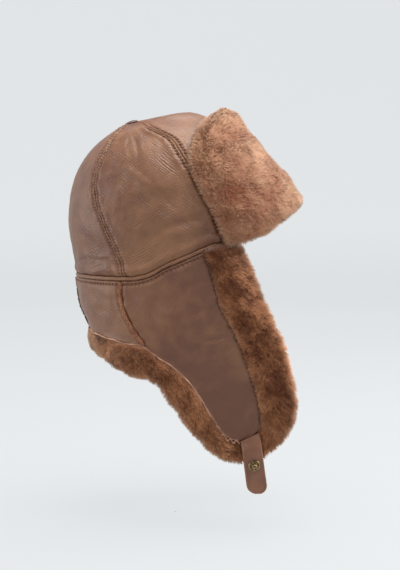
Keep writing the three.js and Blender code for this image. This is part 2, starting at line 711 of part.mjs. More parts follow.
// The flap that is turned up over the brow, fur outward, lying against the crown's front
function browFlap() {
  const bulge = (a, b, power) =>
    (Math.max(0, 1 - Math.abs(a) ** power) * Math.max(0, 1 - Math.abs(b) ** power)) ** (1 / power);
  const place = (outside) => (up, across) => {
    const a = Math.sin((across - 0.5) * Math.PI);
    const b = Math.sin((up - 0.5) * Math.PI);
    const fold = FLAP_FOLD + FLAP_SAG * (1 - a * a);
    const t = lerp(fold, FLAP_TOP, (b + 1) / 2);
    const degrees = a * flapShape.end(t);
    const fur = FLAP_FUR * lerp(flapShape.middle(t), flapShape.side(t), Math.abs(a) ** 2.5);
    const lean = FLAP_LEAN * ((b + 1) / 2) * (1 - a * a);
    const rest = FLAP_CLEARANCE + lean;
    const seat = lerp(rest, fur, 0.3);
    const height = outside
      ? lerp(seat, fur, bulge(a, b, FLAP_ROUNDNESS))
      : lerp(seat, rest, bulge(a, b, 2 * FLAP_ROUNDNESS));
    return crownPoint(RIGHT, degrees, t).addScaledVector(crownNormal(RIGHT, degrees, t), height);
  };
  const faces = [true, false].map((outside) => grid(FLAP_CELLS_UP, FLAP_CELLS_ACROSS, place(outside)));
  return wall(...faces, true);
}

// The strap hangs from the slanted tip of the ear flap's leather, over the fur, to its free end.
// Its places are length and height, by shares down it and across it from back to front.
function strapPlace(down, across) {
  const [topBack, topFront] = [trimHem(TIP_BACK), trimHem(TIP_FRONT)];
  const middle = topBack.clone().lerp(topFront, 0.5);
  const top = topBack.clone().lerp(topFront, across);
  const rounding = Math.sqrt(1 - THREE.MathUtils.smoothstep(down, STRAP_ROUNDING, 1.04) ** 2);
  const sideways = (0.5 - across) * STRAP_WIDTH * rounding;
  const end = new THREE.Vector2(middle.x - STRAP_SWING + sideways, middle.y - STRAP_LENGTH);
  top.y -= PIECE_GAP;
  return top.lerp(end, down);
}

function strapStand(down) {
  const over = THREE.MathUtils.smoothstep(down, 0, 0.2);
  const past = THREE.MathUtils.smoothstep(down, 0.45, 1);
  return PIECE_GAP + over * (STRAP_PRESSED + PIECE_GAP) - past * STRAP_PRESSED;
}

function strap(side) {
  const place = (height) => (down, across) =>
    onSkirt(side, strapPlace(down, across), strapStand(down) + height);
  return wall(grid(STRAP_CELLS, 4, place(STRAP_THICKNESS)), grid(STRAP_CELLS, 4, place(0)));
}

function turnedPiece(outline) {
  const profile = outline.map(([radius, height]) => new THREE.Vector2(radius, height));
  return new THREE.LatheGeometry(profile, TURNED_SEGMENTS);
}

function seatOnStrap(mesh, side) {
  const down = SNAP_DOWN / STRAP_LENGTH;
  const outer = (a, b) => onSkirt(side, strapPlace(a, b), strapStand(a) + STRAP_THICKNESS);
  const normal = normalOf(outer, down, 0.5, 0.03, 0.1);
  mesh.position.copy(outer(down, 0.5)).addScaledVector(normal, PIECE_GAP);
  mesh.quaternion.setFromUnitVectors(new THREE.Vector3(0, 1, 0), normal);
}

function addStraps() {
  addPiece('strap_right', strap(RIGHT), STRAP_COLOUR, 0.6);
  addPiece('strap_left', strap(LEFT), STRAP_COLOUR, 0.6);
  const r = SNAP_RADIUS;
  const nub = SNAP_NUB_RADIUS;
  const top = SNAP_NUB_HEIGHT;
  const stud = turnedPiece([[0, 0], [r, 0], [r, 0.7], [0.85 * r, 1.1], [1.25 * nub, 1.1],
    [0.9 * nub, 1.7], [nub, 0.8 * top], [0.7 * nub, top], [0, top]]);
  seatOnStrap(addPiece('snap_stud_right', stud, BRASS, 0.35, 0.9), RIGHT);
  const cap = turnedPiece([[0, 0], [r, 0], [1.06 * r, 0.6], [0.9 * r, 1.5], [0.5 * r, 2.1], [0, 2.3]]);
  seatOnStrap(addPiece('snap_cap_left', cap, BRASS, 0.35, 0.9), LEFT);
}

addCrown();
addButton();
addSeamStrip();
addSkirt();
addPiece('brow_flap', browFlap(), FLAP_COLOUR, 0.95);
addStraps();

export default helmet;
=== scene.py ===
"""A sheepskin flying helmet: leather crown and skirt, fur flap and trims, seams, straps and snaps.

Lengths are in metres and angles in degrees unless a name says otherwise. +Z is up, the wearer
faces -Y and the wearer's right ear is at -X. A turn is measured round from the brow by the right.
"""

import logging
from collections.abc import Callable, Sequence
from dataclasses import dataclass, field, replace
from enum import Enum
from functools import cache

import bpy
import numpy as np
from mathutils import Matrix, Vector


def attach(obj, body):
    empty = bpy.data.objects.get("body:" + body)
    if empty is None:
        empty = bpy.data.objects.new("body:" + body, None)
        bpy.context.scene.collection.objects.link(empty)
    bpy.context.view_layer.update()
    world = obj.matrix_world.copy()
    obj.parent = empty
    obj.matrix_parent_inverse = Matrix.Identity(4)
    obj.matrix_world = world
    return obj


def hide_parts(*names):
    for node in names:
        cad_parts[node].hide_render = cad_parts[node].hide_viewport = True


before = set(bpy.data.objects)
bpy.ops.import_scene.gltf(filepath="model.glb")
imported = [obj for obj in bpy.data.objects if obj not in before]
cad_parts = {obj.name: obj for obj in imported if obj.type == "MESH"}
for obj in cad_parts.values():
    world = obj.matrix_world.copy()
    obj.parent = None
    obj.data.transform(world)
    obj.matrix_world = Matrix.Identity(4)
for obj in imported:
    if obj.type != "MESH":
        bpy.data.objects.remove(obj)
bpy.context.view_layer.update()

BODY = "root"
MM = 0.001
Array = np.ndarray
Material = bpy.types.Material
Node = bpy.types.Node
NodeTree = bpy.types.NodeTree
Socket = bpy.types.NodeSocket
Colour = tuple[float, float, float, float]
Place = tuple[float, float, float]
log = logging.getLogger("helmet")


class Side(Enum):
    """A side of the helmet, as the sign of its x."""

    RIGHT = -1
    LEFT = 1

    @property
    def word(self) -> str:
        """The side's word in names of pieces."""
        return self.name.lower()


class Slot(Enum):
    """The record's material slots."""

    LEATHER = "sheepskin_leather"
    TRIM = "trim_fur"
    BROW = "brow_fur"
    WELT = "raw_welt"
    STRAP = "strap_leather"
    BRASS = "snap_brass"


class Table:
    """Smooth curves through the columns of a table, against its first column."""

    def __init__(self, names: str, rows: Sequence[Sequence[float]]) -> None:
        """Keeps the rows by column.

        Args:
            names: the columns' names after the first, with spaces between.
            rows: the table's rows, with rising first values.
        """
        data = np.asarray(rows, float)
        self.keys = data[:, 0]
        self.columns = dict(zip(names.split(), data[:, 1:].T))

    def __call__(self, name: str, at: Array) -> Array:
        """A cubic Hermite curve whose slope at a row is the mean of the steps beside it.

        Args:
            name: the column.
            at: places along the first column.

        Returns:
            The column's values there.
        """
        keys, values = self.keys, self.columns[name]
        steps = np.diff(values) / np.diff(keys)
        slopes = np.concatenate([steps[:1], (steps[:-1] + steps[1:]) / 2, steps[-1:]])
        x = np.clip(at, keys[0], keys[-1])
        i = np.clip(np.searchsorted(keys, x) - 1, 0, len(keys) - 2)
        width = keys[i + 1] - keys[i]
        s = (x - keys[i]) / width
        r = 1 - s
        return (values[i] * r * r * (1 + 2 * s) + values[i + 1] * s * s * (3 - 2 * s)
                + width * s * r * (slopes[i] * r - slopes[i + 1] * s))


def unit(vectors: Array) -> Array:
    """Vectors divided by their lengths."""
    return vectors / np.maximum(np.linalg.norm(vectors, axis=-1, keepdims=True), 1e-12)


def smooth(value: Array, low: float, high: float) -> Array:
    """0 below low, 1 above high and 3s^2 - 2s^3 between."""
    s = np.clip((value - low) / (high - low), 0, 1)
    return s * s * (3 - 2 * s)


def blend(start: Array, end: Array, share: Array) -> Array:
    """The straight mix of two values by a share."""
    return start + (end - start) * share


def signed_power(value: Array, power: Array | float) -> Array:
    """A power of the size of a value, with the value's sign."""
    return np.sign(value) * np.abs(value) ** power


def bell(value: Array, width: float) -> Array:
    """A bell curve, exp(-(value / width)^2)."""
    return np.exp(-((value / width) ** 2))


@dataclass(frozen=True)
class Bells:
    """A sum of bell curves, as rows of height, place and width."""

    rows: tuple[tuple[float, float, float], ...]

    def __call__(self, at: Array) -> Array:
        """The sum at places."""
        return sum(height * bell(at - place, width) for height, place, width in self.rows)


@dataclass(frozen=True)
class Gather:
    """Small waves along a seam that fade within a reach of it.

    A wave is the length for one radian. Its phase swings slowly to and fro.
    """

    height: float
    wave: float
    reach: float
    swing: float = 0.0
    slow: float = 1.0

    def __call__(self, along: Array, away: Array | float = 0.0) -> Array:
        """The waves: height * sin(along / wave + swing * sin(along / slow)) * bell(away).

        Args:
            along: length along the seam.
            away: distance from it.

        Returns:
            How far the leather rises.
        """
        phase = along / self.wave + self.swing * np.sin(along / self.slow)
        return self.height * np.sin(phase) * bell(away, self.reach)


def ripple(points: Array, wavelength: float, seed: int, waves: int = 9) -> Array:
    """Soft noise of about -1 to 1: a sum of sine waves in seeded directions and phases.

    Args:
        points: places, with x, y and z last.
        wavelength: the mean length of a wave.
        seed: picks the directions.
        waves: how many waves are summed.

    Returns:
        One value a place.
    """
    rng = np.random.default_rng(seed)
    directions = unit(rng.normal(size=(waves, 3))) * (2 * np.pi / wavelength)
    directions *= rng.uniform(0.7, 1.4, (waves, 1))
    phases = rng.uniform(0, 2 * np.pi, waves)
    return np.sin(points @ directions.T + phases).sum(-1) / np.sqrt(2 * waves)


def rippled(points: Array, seed: int, *layers: tuple[float, float]) -> Array:
    """A sum of ripples with seeds that rise from layer to layer.

    Args:
        points: places, with x, y and z last.
        seed: the first layer's seed.
        layers: height and wavelength of each.

    Returns:
        One height a place.
    """
    return sum(height * ripple(points, wavelength, seed + layer)
               for layer, (height, wavelength) in enumerate(layers))


def averaged(values: Array, corners: Array, shares: Array) -> Array:
    """Values inside triangles: the sum of their corners' values by the corners' shares.

    Args:
        values: a number or a row of numbers for each point.
        corners: three point numbers a place.
        shares: three shares a place.

    Returns:
        A number or a row of numbers for each place.
    """
    return np.sum(values[corners] * (shares if values.ndim == 1 else shares[..., None]), 1)


def scattered(cells: Array) -> Array:
    """Three numbers of 0 to 1 for each cell of a lattice, as good as random.

    Args:
        cells: whole numbers, three a cell.

    Returns:
        The fractions of large sines, three a cell.
    """
    mixing = np.array([[127.1, 269.5, 419.2], [311.7, 183.3, 371.9], [74.7, 246.1, 113.5]])
    return np.sin(cells @ mixing) * 43758.5453 % 1


def wool_lumps(points: Array, seed: int) -> Array:
    """How far small lumps of two sizes raise the wool's face."""
    return rippled(points, seed, (0.0006, 0.006), (0.0004, 0.003))


def walk(points: Array, axis: int) -> Array:
    """Lengths walked along one axis of a grid of points: the running sum of its steps, from 0.

    Args:
        points: the grid of points.
        axis: which axis is walked.

    Returns:
        One length a point.
    """
    steps = np.linalg.norm(np.diff(points, axis=axis), axis=-1)
    start = np.zeros_like(np.take(steps, [0], axis=axis))
    return np.concatenate([start, np.cumsum(steps, axis=axis)], axis=axis)


def circle(count: int) -> Array:
    """Turns round a circle in radians, from 0."""
    return np.linspace(0, 2 * np.pi, count + 1)[:-1]


def placed(at: Array, length: Array, line: Array) -> Array:
    """Points of a line at lengths along it, by straight steps.

    Args:
        at: the lengths.
        length: the length of the line before each of its points.
        line: its points, or directions there.

    Returns:
        One point a length.
    """
    return np.stack([np.interp(at, length, line[:, k]) for k in range(3)], -1)


def edge_spaced(length: float, fine: float, coarse: float, reach: float) -> Array:
    """Shares from 0 to 1 along a length, in fine steps near both ends and coarse ones between.

    Args:
        length: the whole length.
        fine: the steps near the ends.
        coarse: the steps between.
        reach: how far from each end the fine steps go.

    Returns:
        The shares, rising.
    """
    near = np.linspace(0, reach, max(2, round(reach / fine) + 1))
    middle = np.linspace(reach, length - reach, max(3, round((length - 2 * reach) / coarse) + 1))
    return np.concatenate([near[:-1], middle, (length - near[::-1])[1:]]) / length


def surface_normals(
    surface: Callable[[Array, Array], Array], a: Array, b: Array, steps: tuple[float, float]
) -> Array:
    """Unit outward normals: the cross product of a surface's two slopes, taken by small steps.

    Args:
        surface: gives points from two numbers.
        a: the first numbers.
        b: the second numbers.
        steps: how far each is stepped to both sides.

    Returns:
        One normal a point, turned away from the upright axis.
    """
    along_a = surface(a + steps[0], b) - surface(a - steps[0], b)
    along_b = surface(a, b + steps[1]) - surface(a, b - steps[1])
    normal = unit(np.cross(along_a, along_b))
    outward = surface(a, b) * (1, 1, 0.2)
    return np.where(np.sum(normal * outward, -1, keepdims=True) < 0, -normal, normal)


def no_points() -> Array:
    """An empty array of points."""
    return np.zeros((0, 3))


@dataclass
class Mesh:
    """Points, faces and masks that become one Blender mesh.

    Faces are arrays of three or four point numbers. Each block of faces has a finish's number.
    """

    points: Array = field(default_factory=no_points)
    faces: list[tuple[Array, int]] = field(default_factory=list)
    masks: dict[str, Array] = field(default_factory=dict)
    normals: Array | None = None

    def add(self, points: Array, faces: Sequence[tuple[Array, int]], **masks: Array) -> "Mesh":
        """Joins more points and faces on, and masks that are 0 where they aren't given.

        Args:
            points: the new points.
            faces: blocks of faces by the new points' own numbers, each with a finish's number.
            masks: one value a new point.

        Returns:
            This mesh.
        """
        old, new = len(self.points), len(points)
        for name in {*self.masks, *masks}:
            before = self.masks.get(name, np.zeros(old))
            after = np.broadcast_to(np.ravel(masks.get(name, np.zeros(new))), new)
            self.masks[name] = np.concatenate([before, after])
        self.points = np.concatenate([self.points, points])
        self.faces += [(block + old, finish) for block, finish in faces]
        return self

    def join(self, other: "Mesh") -> "Mesh":
        """Joins another mesh on, and keeps the normals only if both have them.

        Args:
            other: the mesh that is joined on.

        Returns:
            This mesh.
        """
        normals = None
        if self.normals is not None and other.normals is not None:
            normals = np.concatenate([self.normals, other.normals])
        self.add(other.points, other.faces, **other.masks)
        self.normals = normals
        return self

    def triangles(self) -> Array:
        """Splits every face of four points in two.

        Returns:
            Three point numbers a triangle.
        """
        parts = []
        for block, _ in self.faces:
            parts.append(block[:, :3])
            if block.shape[1] == 4:
                parts.append(block[:, [0, 2, 3]])
        return np.concatenate(parts)

    def point_normals(self) -> Array:
        """Sums the area vectors of the triangles at each point and makes the sums unit.

        Returns:
            One normal a point.
        """
        corners = self.triangles()
        a, b, c = (self.points[corners[:, k]] for k in range(3))
        area = np.cross(b - a, c - a)
        total = np.zeros_like(self.points)
        for axis in range(3):
            for k in range(3):
                total[:, axis] += np.bincount(corners[:, k], area[:, axis], len(self.points))
        return unit(total)

    def turned_out(self) -> "Mesh":
        """Turns all faces round if they enclose a negative volume.

        Returns:
            This mesh.
        """
        corners = self.triangles()
        a, b, c = (self.points[corners[:, k]] for k in range(3))
        if np.sum(a * np.cross(b, c)) < 0:
            self.faces = [(block[:, ::-1], finish) for block, finish in self.faces]
        return self

    def piece(
        self, name: str, slot: Slot, finishes: Sequence[Material], *nodes: str
    ) -> bpy.types.Object:
        """Makes the Blender object, which rides on the body and stands for CAD nodes.

        Args:
            name: the piece's name.
            slot: the record's slot that its finish follows; it is not used.
            finishes: materials by the numbers in faces.
            nodes: the CAD nodes that it stands for.

        Returns:
            The object.
        """
        data = bpy.data.meshes.new(name)
        data.vertices.add(len(self.points))
        data.vertices.foreach_set("co", self.points.astype(np.float32).ravel())
        loops = np.concatenate([block.ravel() for block, _ in self.faces])
        sizes = np.concatenate([np.full(len(block), block.shape[1]) for block, _ in self.faces])
        kinds = np.concatenate([np.full(len(block), finish) for block, finish in self.faces])
        data.loops.add(len(loops))
        data.loops.foreach_set("vertex_index", loops.astype(np.int32))
        data.polygons.add(len(sizes))
        starts = np.concatenate([[0], np.cumsum(sizes)[:-1]])
        data.polygons.foreach_set("loop_start", starts.astype(np.int32))
        data.polygons.foreach_set("material_index", kinds.astype(np.int32))
        data.polygons.foreach_set("use_smooth", np.ones(len(sizes), bool))
        for mask, values in self.masks.items():
            data.attributes.new(mask, "FLOAT", "POINT").data.foreach_set(
                "value", values.astype(np.float32))
        for finish in finishes:
            data.materials.append(finish)
        data.update(calc_edges=True)
        data.validate()
        if self.normals is not None:
            data.normals_split_custom_set_from_vertices(self.normals.tolist())
        piece = bpy.data.objects.new(name, data)
        bpy.context.scene.collection.objects.link(piece)
        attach(piece, BODY)
        if nodes:
            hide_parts(*nodes)
        log.info("%s: %d triangles", name, len(self.triangles()))
        return piece


def grid_faces(rows: int, cells: int, closed: bool = False) -> Array:
    """Numbers the four-sided faces of a grid of points.

    Args:
        rows: how many rows the grid has.
        cells: how many points a row has.
        closed: whether a row's last point is joined to its first.

    Returns:
        Four point numbers a face.
    """
    number = np.arange(rows * cells).reshape(rows, cells)
    if closed:
        number = np.concatenate([number, number[:, :1]], 1)
    return np.stack([number[:-1, :-1], number[:-1, 1:], number[1:, 1:], number[1:, :-1]],
                    -1).reshape(-1, 4)


def shell(outer: Array, inner: Array, **masks: Array) -> Mesh:
    """A closed wall from an outer and an inner grid: finish 0 outside and on the rim, 1 inside.

    Args:
        outer: the grid of points of the outer face.
        inner: the grid of points of the inner face, of the same size.
        masks: values over the outer grid, which the inner points share.

    Returns:
        The mesh.
    """
    rows, cells = outer.shape[:2]
    front = grid_faces(rows, cells)
    number = np.arange(rows * cells).reshape(rows, cells)
    ring = np.concatenate([number[0, :-1], number[:-1, -1], number[-1, :0:-1], number[:0:-1, 0]])
    after = np.roll(ring, -1)
    count = rows * cells
    rim = np.stack([after, ring, ring + count, after + count], -1)
    back = front[:, ::-1] + count
    points = np.concatenate([outer.reshape(-1, 3), inner.reshape(-1, 3)])
    both = {name: np.tile(np.broadcast_to(value, (rows, cells)).ravel(), 2)
            for name, value in masks.items()}
    inside = np.repeat([0.0, 1.0], count)
    wall = Mesh().add(points, [(front, 0), (rim, 0), (back, 1)], inside=inside, **both)
    return wall.turned_out()


def tube(rings: Array, **masks: Array) -> Mesh:
    """A closed bar from rows of rings of points, with a fan at each end.

    Args:
        rings: stations by ring points.
        masks: values over the rings.

    Returns:
        The mesh.
    """
    rows, cells = rings.shape[:2]
    ends = rings[[0, -1]].mean(1)
    points = np.concatenate([rings.reshape(-1, 3), ends])
    sides = grid_faces(rows, cells, closed=True)
    ring = np.arange(cells)
    first = np.stack([np.full(cells, rows * cells), np.roll(ring, -1), ring], -1)
    last = ring + (rows - 1) * cells
    final = np.stack([np.full(cells, rows * cells + 1), last, np.roll(last, -1)], -1)
    spread = {name: np.concatenate([np.broadcast_to(value, (rows, cells)).ravel(),
                                    np.broadcast_to(value, (rows, cells))[[0, -1]].mean(1)])
              for name, value in masks.items()}
    return Mesh().add(points, [(sides, 0), (first, 0), (final, 0)], **spread).turned_out()


def relaxed(points: Array, rounds: int) -> Array:
    """Moves a grid's inner points halfway to the mean of their four neighbours, several times.

    Args:
        points: the grid of points.
        rounds: how many times.

    Returns:
        A new grid.
    """
    points = points.copy()
    for _ in range(rounds):
        near = points[2:, 1:-1] + points[:-2, 1:-1] + points[1:-1, 2:] + points[1:-1, :-2]
        points[1:-1, 1:-1] = 0.5 * points[1:-1, 1:-1] + 0.125 * near
    return points


@dataclass(frozen=True)
class Pile:
    """How a fur grows. Lengths are in metres, angles in radians.

    A strand is a slender closed cone of three sides that leans along the comb and pulls towards
    the middle of its clump. Swirl turns the strands and sway tilts them in slow waves, loose and
    stray add chance to both, and softness is how far the shading follows the skin's normals.
    """

    count: int
    length: float
    width: float
    lean: float
    clump: float
    gather: float
    seed: int
    swirl: float = 0.7
    swirl_wave: float = 0.045
    sway: float = 0.30
    sway_wave: float = 0.016
    long_wave: float = 0.007
    uneven: float = 0.07
    loose: float = 0.3
    stray: float = 0.1
    patch: float = 4.5
    sunk: float = 0.0006
    foot_softness: float = 0.72
    tip_softness: float = 0.86

    def grow(self, base: Mesh, comb: Array, **places: Array) -> Mesh:
        """Grows strands on a base mesh: tip = root + direction * length, pulled to its clump.

        Args:
            base: the mesh that carries them.
            comb: the direction in which they lean, at each point of the base.
            places: values at each point of the base: weight (how dense), stretch (how long, as a share),
            tint (painted light and shade, and colour patches, added to the shade) and tuft (what is added
            to the gather).

        Returns:
            A mesh of strands with masks tip and shade, and soft normals.
        """
        rng = np.random.default_rng(self.seed)
        weight, stretch, tint, tuft = (
            np.broadcast_to(places.get(name, start), len(base.points))
            for name, start in (("weight", 1.0), ("stretch", 1.0), ("tint", 0.0), ("tuft", 0.0)))
        corners, shares = self.picked(base, weight, rng)
        comb = np.broadcast_to(comb, base.points.shape)
        root, normal, combed, stretch, tint, tuft = (
            averaged(values, corners, shares)
            for values in (base.points, base.point_normals(), comb, stretch, tint, tuft))
        normal = unit(normal)
        direction = self.direction(root, normal, combed, rng)
        length = self.length * stretch * (
            1 + self.uneven * ripple(root, self.long_wave, self.seed + 3)
            + rng.normal(0, self.uneven, self.count))
        pull = self.clump_centre(root) - root
        pull -= normal * np.sum(pull * normal, -1, keepdims=True)
        tip = root + direction * length[:, None] + pull * ((self.gather + tuft) * stretch)[:, None]
        made = self.cones(root, tip, normal, rng)
        # Each strand's shade: a random part plus the painted light, painted shade and colour patches
        # passed in.
        shade = 0.5 + 0.2 * rng.normal(size=self.count) + tint
        made.masks = {"tip": np.tile([0.0, 0.0, 0.0, 1.0], self.count), "shade": np.repeat(shade, 4)}
        return made

    def picked(self, base: Mesh, weight: Array,
               rng: np.random.Generator) -> tuple[Array, Array]:
        """Picks where strands stand, by the area of triangles and the weight.

        Args:
            base: the mesh that carries them.
            weight: how dense they are at each of its points.
            rng: draws the places.

        Returns:
            Three point numbers a strand, and their shares in its place.
        """
        corners = base.triangles()
        a, b, c = (base.points[corners[:, k]] for k in range(3))
        area = np.linalg.norm(np.cross(b - a, c - a), axis=1) * weight[corners].min(1)
        total = np.cumsum(area) / area.sum()
        pick = np.searchsorted(total, (np.arange(self.count) + rng.random(self.count)) / self.count)
        pick = np.minimum(pick, len(corners) - 1)
        out = np.sqrt(rng.random(self.count))
        turn = rng.random(self.count)
        return corners[pick], np.stack([1 - out, out * (1 - turn), out * turn], -1)

    def direction(self, root: Array, normal: Array, combed: Array,
                  rng: np.random.Generator) -> Array:
        """Directions of strands: they lean along the comb, turned by swirl and tilted by sway.

        Args:
            root: where they stand.
            normal: the skin's normals there.
            combed: the comb's direction there.
            rng: draws how far each strays.

        Returns:
            Unit directions.
        """
        tangent = unit(combed - normal * np.sum(combed * normal, -1, keepdims=True) + 1e-6)
        twist = self.swirl * ripple(root, self.swirl_wave, self.seed + 1)
        twist += rng.normal(0, self.loose, self.count)
        tangent = (tangent * np.cos(twist)[:, None]
                   + np.cross(normal, tangent) * np.sin(twist)[:, None])
        lean = self.lean * (1 + self.sway * ripple(root, self.sway_wave, self.seed + 2))
        lean += rng.normal(0, self.stray, self.count)
        return normal * np.cos(lean)[:, None] + tangent * np.sin(lean)[:, None]

    def clump_centre(self, root: Array) -> Array:
        """The middle of each strand's clump: a scattered place in its cell of a warped lattice.

        Args:
            root: where the strands stand.

        Returns:
            The places.
        """
        cell = np.floor(root / self.clump + 1.1 * np.stack(
            [ripple(root, self.patch * self.clump, self.seed + k) for k in (4, 5, 6)], -1))
        return (cell + scattered(cell)) * self.clump

    def cones(self, root: Array, tip: Array, normal: Array, rng: np.random.Generator) -> Mesh:
        """Slender closed cones of three sides from roots to tips, with soft normals.

        Args:
            root: where they stand.
            tip: where they end.
            normal: the skin's normals at the roots.
            rng: draws their turns and widths.

        Returns:
            The mesh, with four points a strand, the tip last.
        """
        along = unit(tip - root)
        across = unit(np.cross(along, normal + 0.01))
        third = np.cross(along, across)
        angle = rng.uniform(0, 2 * np.pi, (self.count, 1)) + np.arange(3) * 2 * np.pi / 3
        radial = (across[:, None] * np.cos(angle)[..., None]
                  + third[:, None] * np.sin(angle)[..., None])
        width = self.width * rng.uniform(0.75, 1.3, (self.count, 1, 1))
        foot = (root - normal * self.sunk)[:, None] + radial * width
        points = np.concatenate([foot, tip[:, None]], 1).reshape(-1, 3)
        number = 4 * np.arange(self.count)[:, None]
        faces = np.concatenate([number + np.array(side) for side in
                                ((0, 2, 1), (0, 1, 3), (1, 2, 3), (2, 0, 3))])
        soft = np.concatenate([blend(radial, normal[:, None], self.foot_softness),
                               blend(along, normal, self.tip_softness)[:, None]], 1)
        return Mesh(points, [(faces, 0)], normals=unit(soft.reshape(-1, 3)))


def woolly(wall: Mesh, count: int, seed: int) -> Mesh:
    """Grows short wool on a wall's inner face.

    Args:
        wall: a mesh from shell.
        count: how many strands.
        seed: picks their places.

    Returns:
        The same mesh.
    """
    wall.normals = wall.point_normals()
    pile = Pile(count=count, length=0.0042, width=0.0008, lean=0.55, clump=0.0046, gather=0.6,
                seed=seed)
    grown = pile.grow(wall, np.array([0.0, 0.2, -1.0]), weight=wall.masks["inside"])
    grown.faces = [(block, 1) for block, _ in grown.faces]
    return wall.join(grown)


@dataclass(frozen=True)
class Fold:
    """A soft fold or dent on one side, drawn on the side view as a line between two places.

    Places are the length y and height z in millimetres, and so are width and height.
    """

    start: tuple[float, float]
    end: tuple[float, float]
    width: float
    height: float

    def near(self, points: Array) -> Array:
        """How near points are: a bell across the bent line that fades past its ends.

        Args:
            points: places, with x, y and z last.

        Returns:
            1 on the line and 0 far from it.
        """
        start, end = (np.array(place) * MM for place in (self.start, self.end))
        run = end - start
        length = np.linalg.norm(run)
        offset = points[..., 1:] - start
        share = np.sum(offset * run, -1) / length ** 2
        bend = 0.12 * length * np.sin(np.pi * np.clip(share, 0, 1)) * np.sign(self.width)
        away = (offset[..., 0] * run[1] - offset[..., 1] * run[0]) / length + bend
        fade = smooth(share, -0.15, 0.25) * smooth(1 - share, -0.15, 0.25)
        return bell(away, abs(self.width) * MM) * fade

    def lift(self, points: Array) -> Array:
        """The fold's height at points."""
        return 1.25 * self.height * MM * self.near(points)


def creased(points: Array, places: Sequence[Fold]) -> Array:
    """A mask of 0 to 1 near any of the places."""
    return np.clip(sum(place.near(points) for place in places), 0, 1)


@dataclass(frozen=True)
class SeamRelief:
    """The section of leather beside a seam, in metres from the seam.

    It dips to the seam, swells over the turned edge, sinks at the row of stitches and puffs
    beyond it, and gathers a little between stitches.
    """

    groove: float = 0.0006
    groove_width: float = 0.0008
    swell: float = 0.0008
    swell_width: float = 0.0011
    turned: float = 0.0021
    line: float = 0.0042
    channel: float = 0.0006
    channel_width: float = 0.0009
    puff: float = 0.0012
    puff_width: float = 0.0034
    beyond: float = 0.0042
    gather: Gather = Gather(0.0005, 0.011 / (2 * np.pi), 0.006, 2.0, 0.013)
    gathered: float = 0.004
    pitch: float = 0.0041
    first: float = 0.20
    opening: float = 0.09
    mark: float = 0.0013
    strong: float = 1.0

    def height(self, away: Array, along: Array) -> Array:
        """A sum of four bells across the seam, and waves along it.

        Args:
            away: distance from the seam.
            along: length along the seam.

        Returns:
            How far the leather rises.
        """
        section = Bells(((-self.groove, 0.0, self.groove_width),
                         (self.swell, self.turned, self.swell_width),
                         (-self.channel, self.line, self.channel_width),
                         (self.puff, self.line + self.beyond, self.puff_width)))
        return section(away) + self.gather(along, away - self.gathered)


def counted(line: Array, pitch: float) -> Array:
    """How many stitches of about a pitch lie before each point of a line."""
    length = walk(line, 0)
    return length / length[-1] * max(1, int(length[-1] / pitch))


@dataclass(frozen=True)
class Thread:
    """A row of stitches, each a closed capsule whose ends sink into the leather."""

    radius: float = 0.00052
    share: float = 0.64
    sink: float = 0.0005
    sides: int = 5
    stations: tuple[float, ...] = (-0.5, -0.26, 0.26, 0.5)
    lift: float = 0.6
    taper: float = 0.5

    def row(self, line: Array, normal: Array, pitch: float) -> Mesh:
        """Lays stitches along a line of points: ring = line + normal * lift + circle * radius.

        Args:
            line: points along the row.
            normal: the leather's normal at each.
            pitch: length from stitch to stitch.

        Returns:
            The stitches.
        """
        length = walk(line, 0)
        count = max(1, int(length[-1] / pitch))
        middle = (np.arange(count) + 0.5) * length[-1] / count
        offsets = np.array(self.stations) * self.share * pitch
        raised = self.lift * self.radius
        lifts = np.array([-self.sink, raised, raised, -self.sink])
        sizes = np.array([self.taper, 1.0, 1.0, self.taper]) * self.radius
        at = middle[:, None] + offsets
        place, up = placed(at, length, line), unit(placed(at, length, normal))
        along = unit(np.gradient(place, axis=1))
        side = unit(np.cross(along, up))
        angle = 2 * np.pi * np.arange(self.sides) / self.sides
        rings = (place + up * lifts[:, None])[:, :, None] + sizes[:, None, None] * (
            side[:, :, None] * np.cos(angle)[:, None] + up[:, :, None] * np.sin(angle)[:, None])
        one = tube(rings[0])
        size = len(one.points)
        ends = rings[:, [0, -1]].mean(2)
        points = np.concatenate([rings.reshape(count, -1, 3), ends], 1).reshape(-1, 3)
        steps = (size * np.arange(count))[:, None, None]
        faces = [((block + steps).reshape(-1, block.shape[1]), 0) for block, _ in one.faces]
        return Mesh().add(points, faces)


def row_at(points: Array, away: Array, distance: float) -> tuple[Array, Array]:
    """The line on a grid that lies a distance from an edge, one point a row.

    Args:
        points: the grid.
        away: distance from the edge over the grid, rising or falling along each row.
        distance: how far from the edge the line lies.

    Returns:
        The line's points, and which rows have one.
    """
    rising = away[:, 0] < away[:, -1]
    away = np.where(rising[:, None], away, away[:, ::-1])
    points = np.where(rising[:, None, None], points, points[:, ::-1])
    i = np.clip(np.sum(away < distance, 1) - 1, 0, away.shape[1] - 2)
    number = np.arange(len(i))
    low, high = away[number, i], away[number, i + 1]
    share = np.clip((distance - low) / np.maximum(high - low, 1e-9), 0, 1)[:, None]
    kept = away[:, -1] > 2.4 * distance
    return blend(points[number, i], points[number, i + 1], share), kept


def sewn(points: Array, normal: Array, away: Array, distance: float, thread: Thread, pitch: float,
         kept: Array | slice = slice(None)) -> Mesh:
    """Lays a row of stitches at a distance from an edge of a grid.

    Args:
        points: the grid.
        normal: its normals.
        away: distance from the edge over the grid.
        distance: how far from the edge the row lies.
        thread: the stitches.
        pitch: length from stitch to stitch.
        kept: which of the grid's rows get stitches.

    Returns:
        The stitches.
    """
    line, _ = row_at(points, away, distance)
    up, _ = row_at(normal, away, distance)
    return thread.row(line[kept], up[kept], pitch)


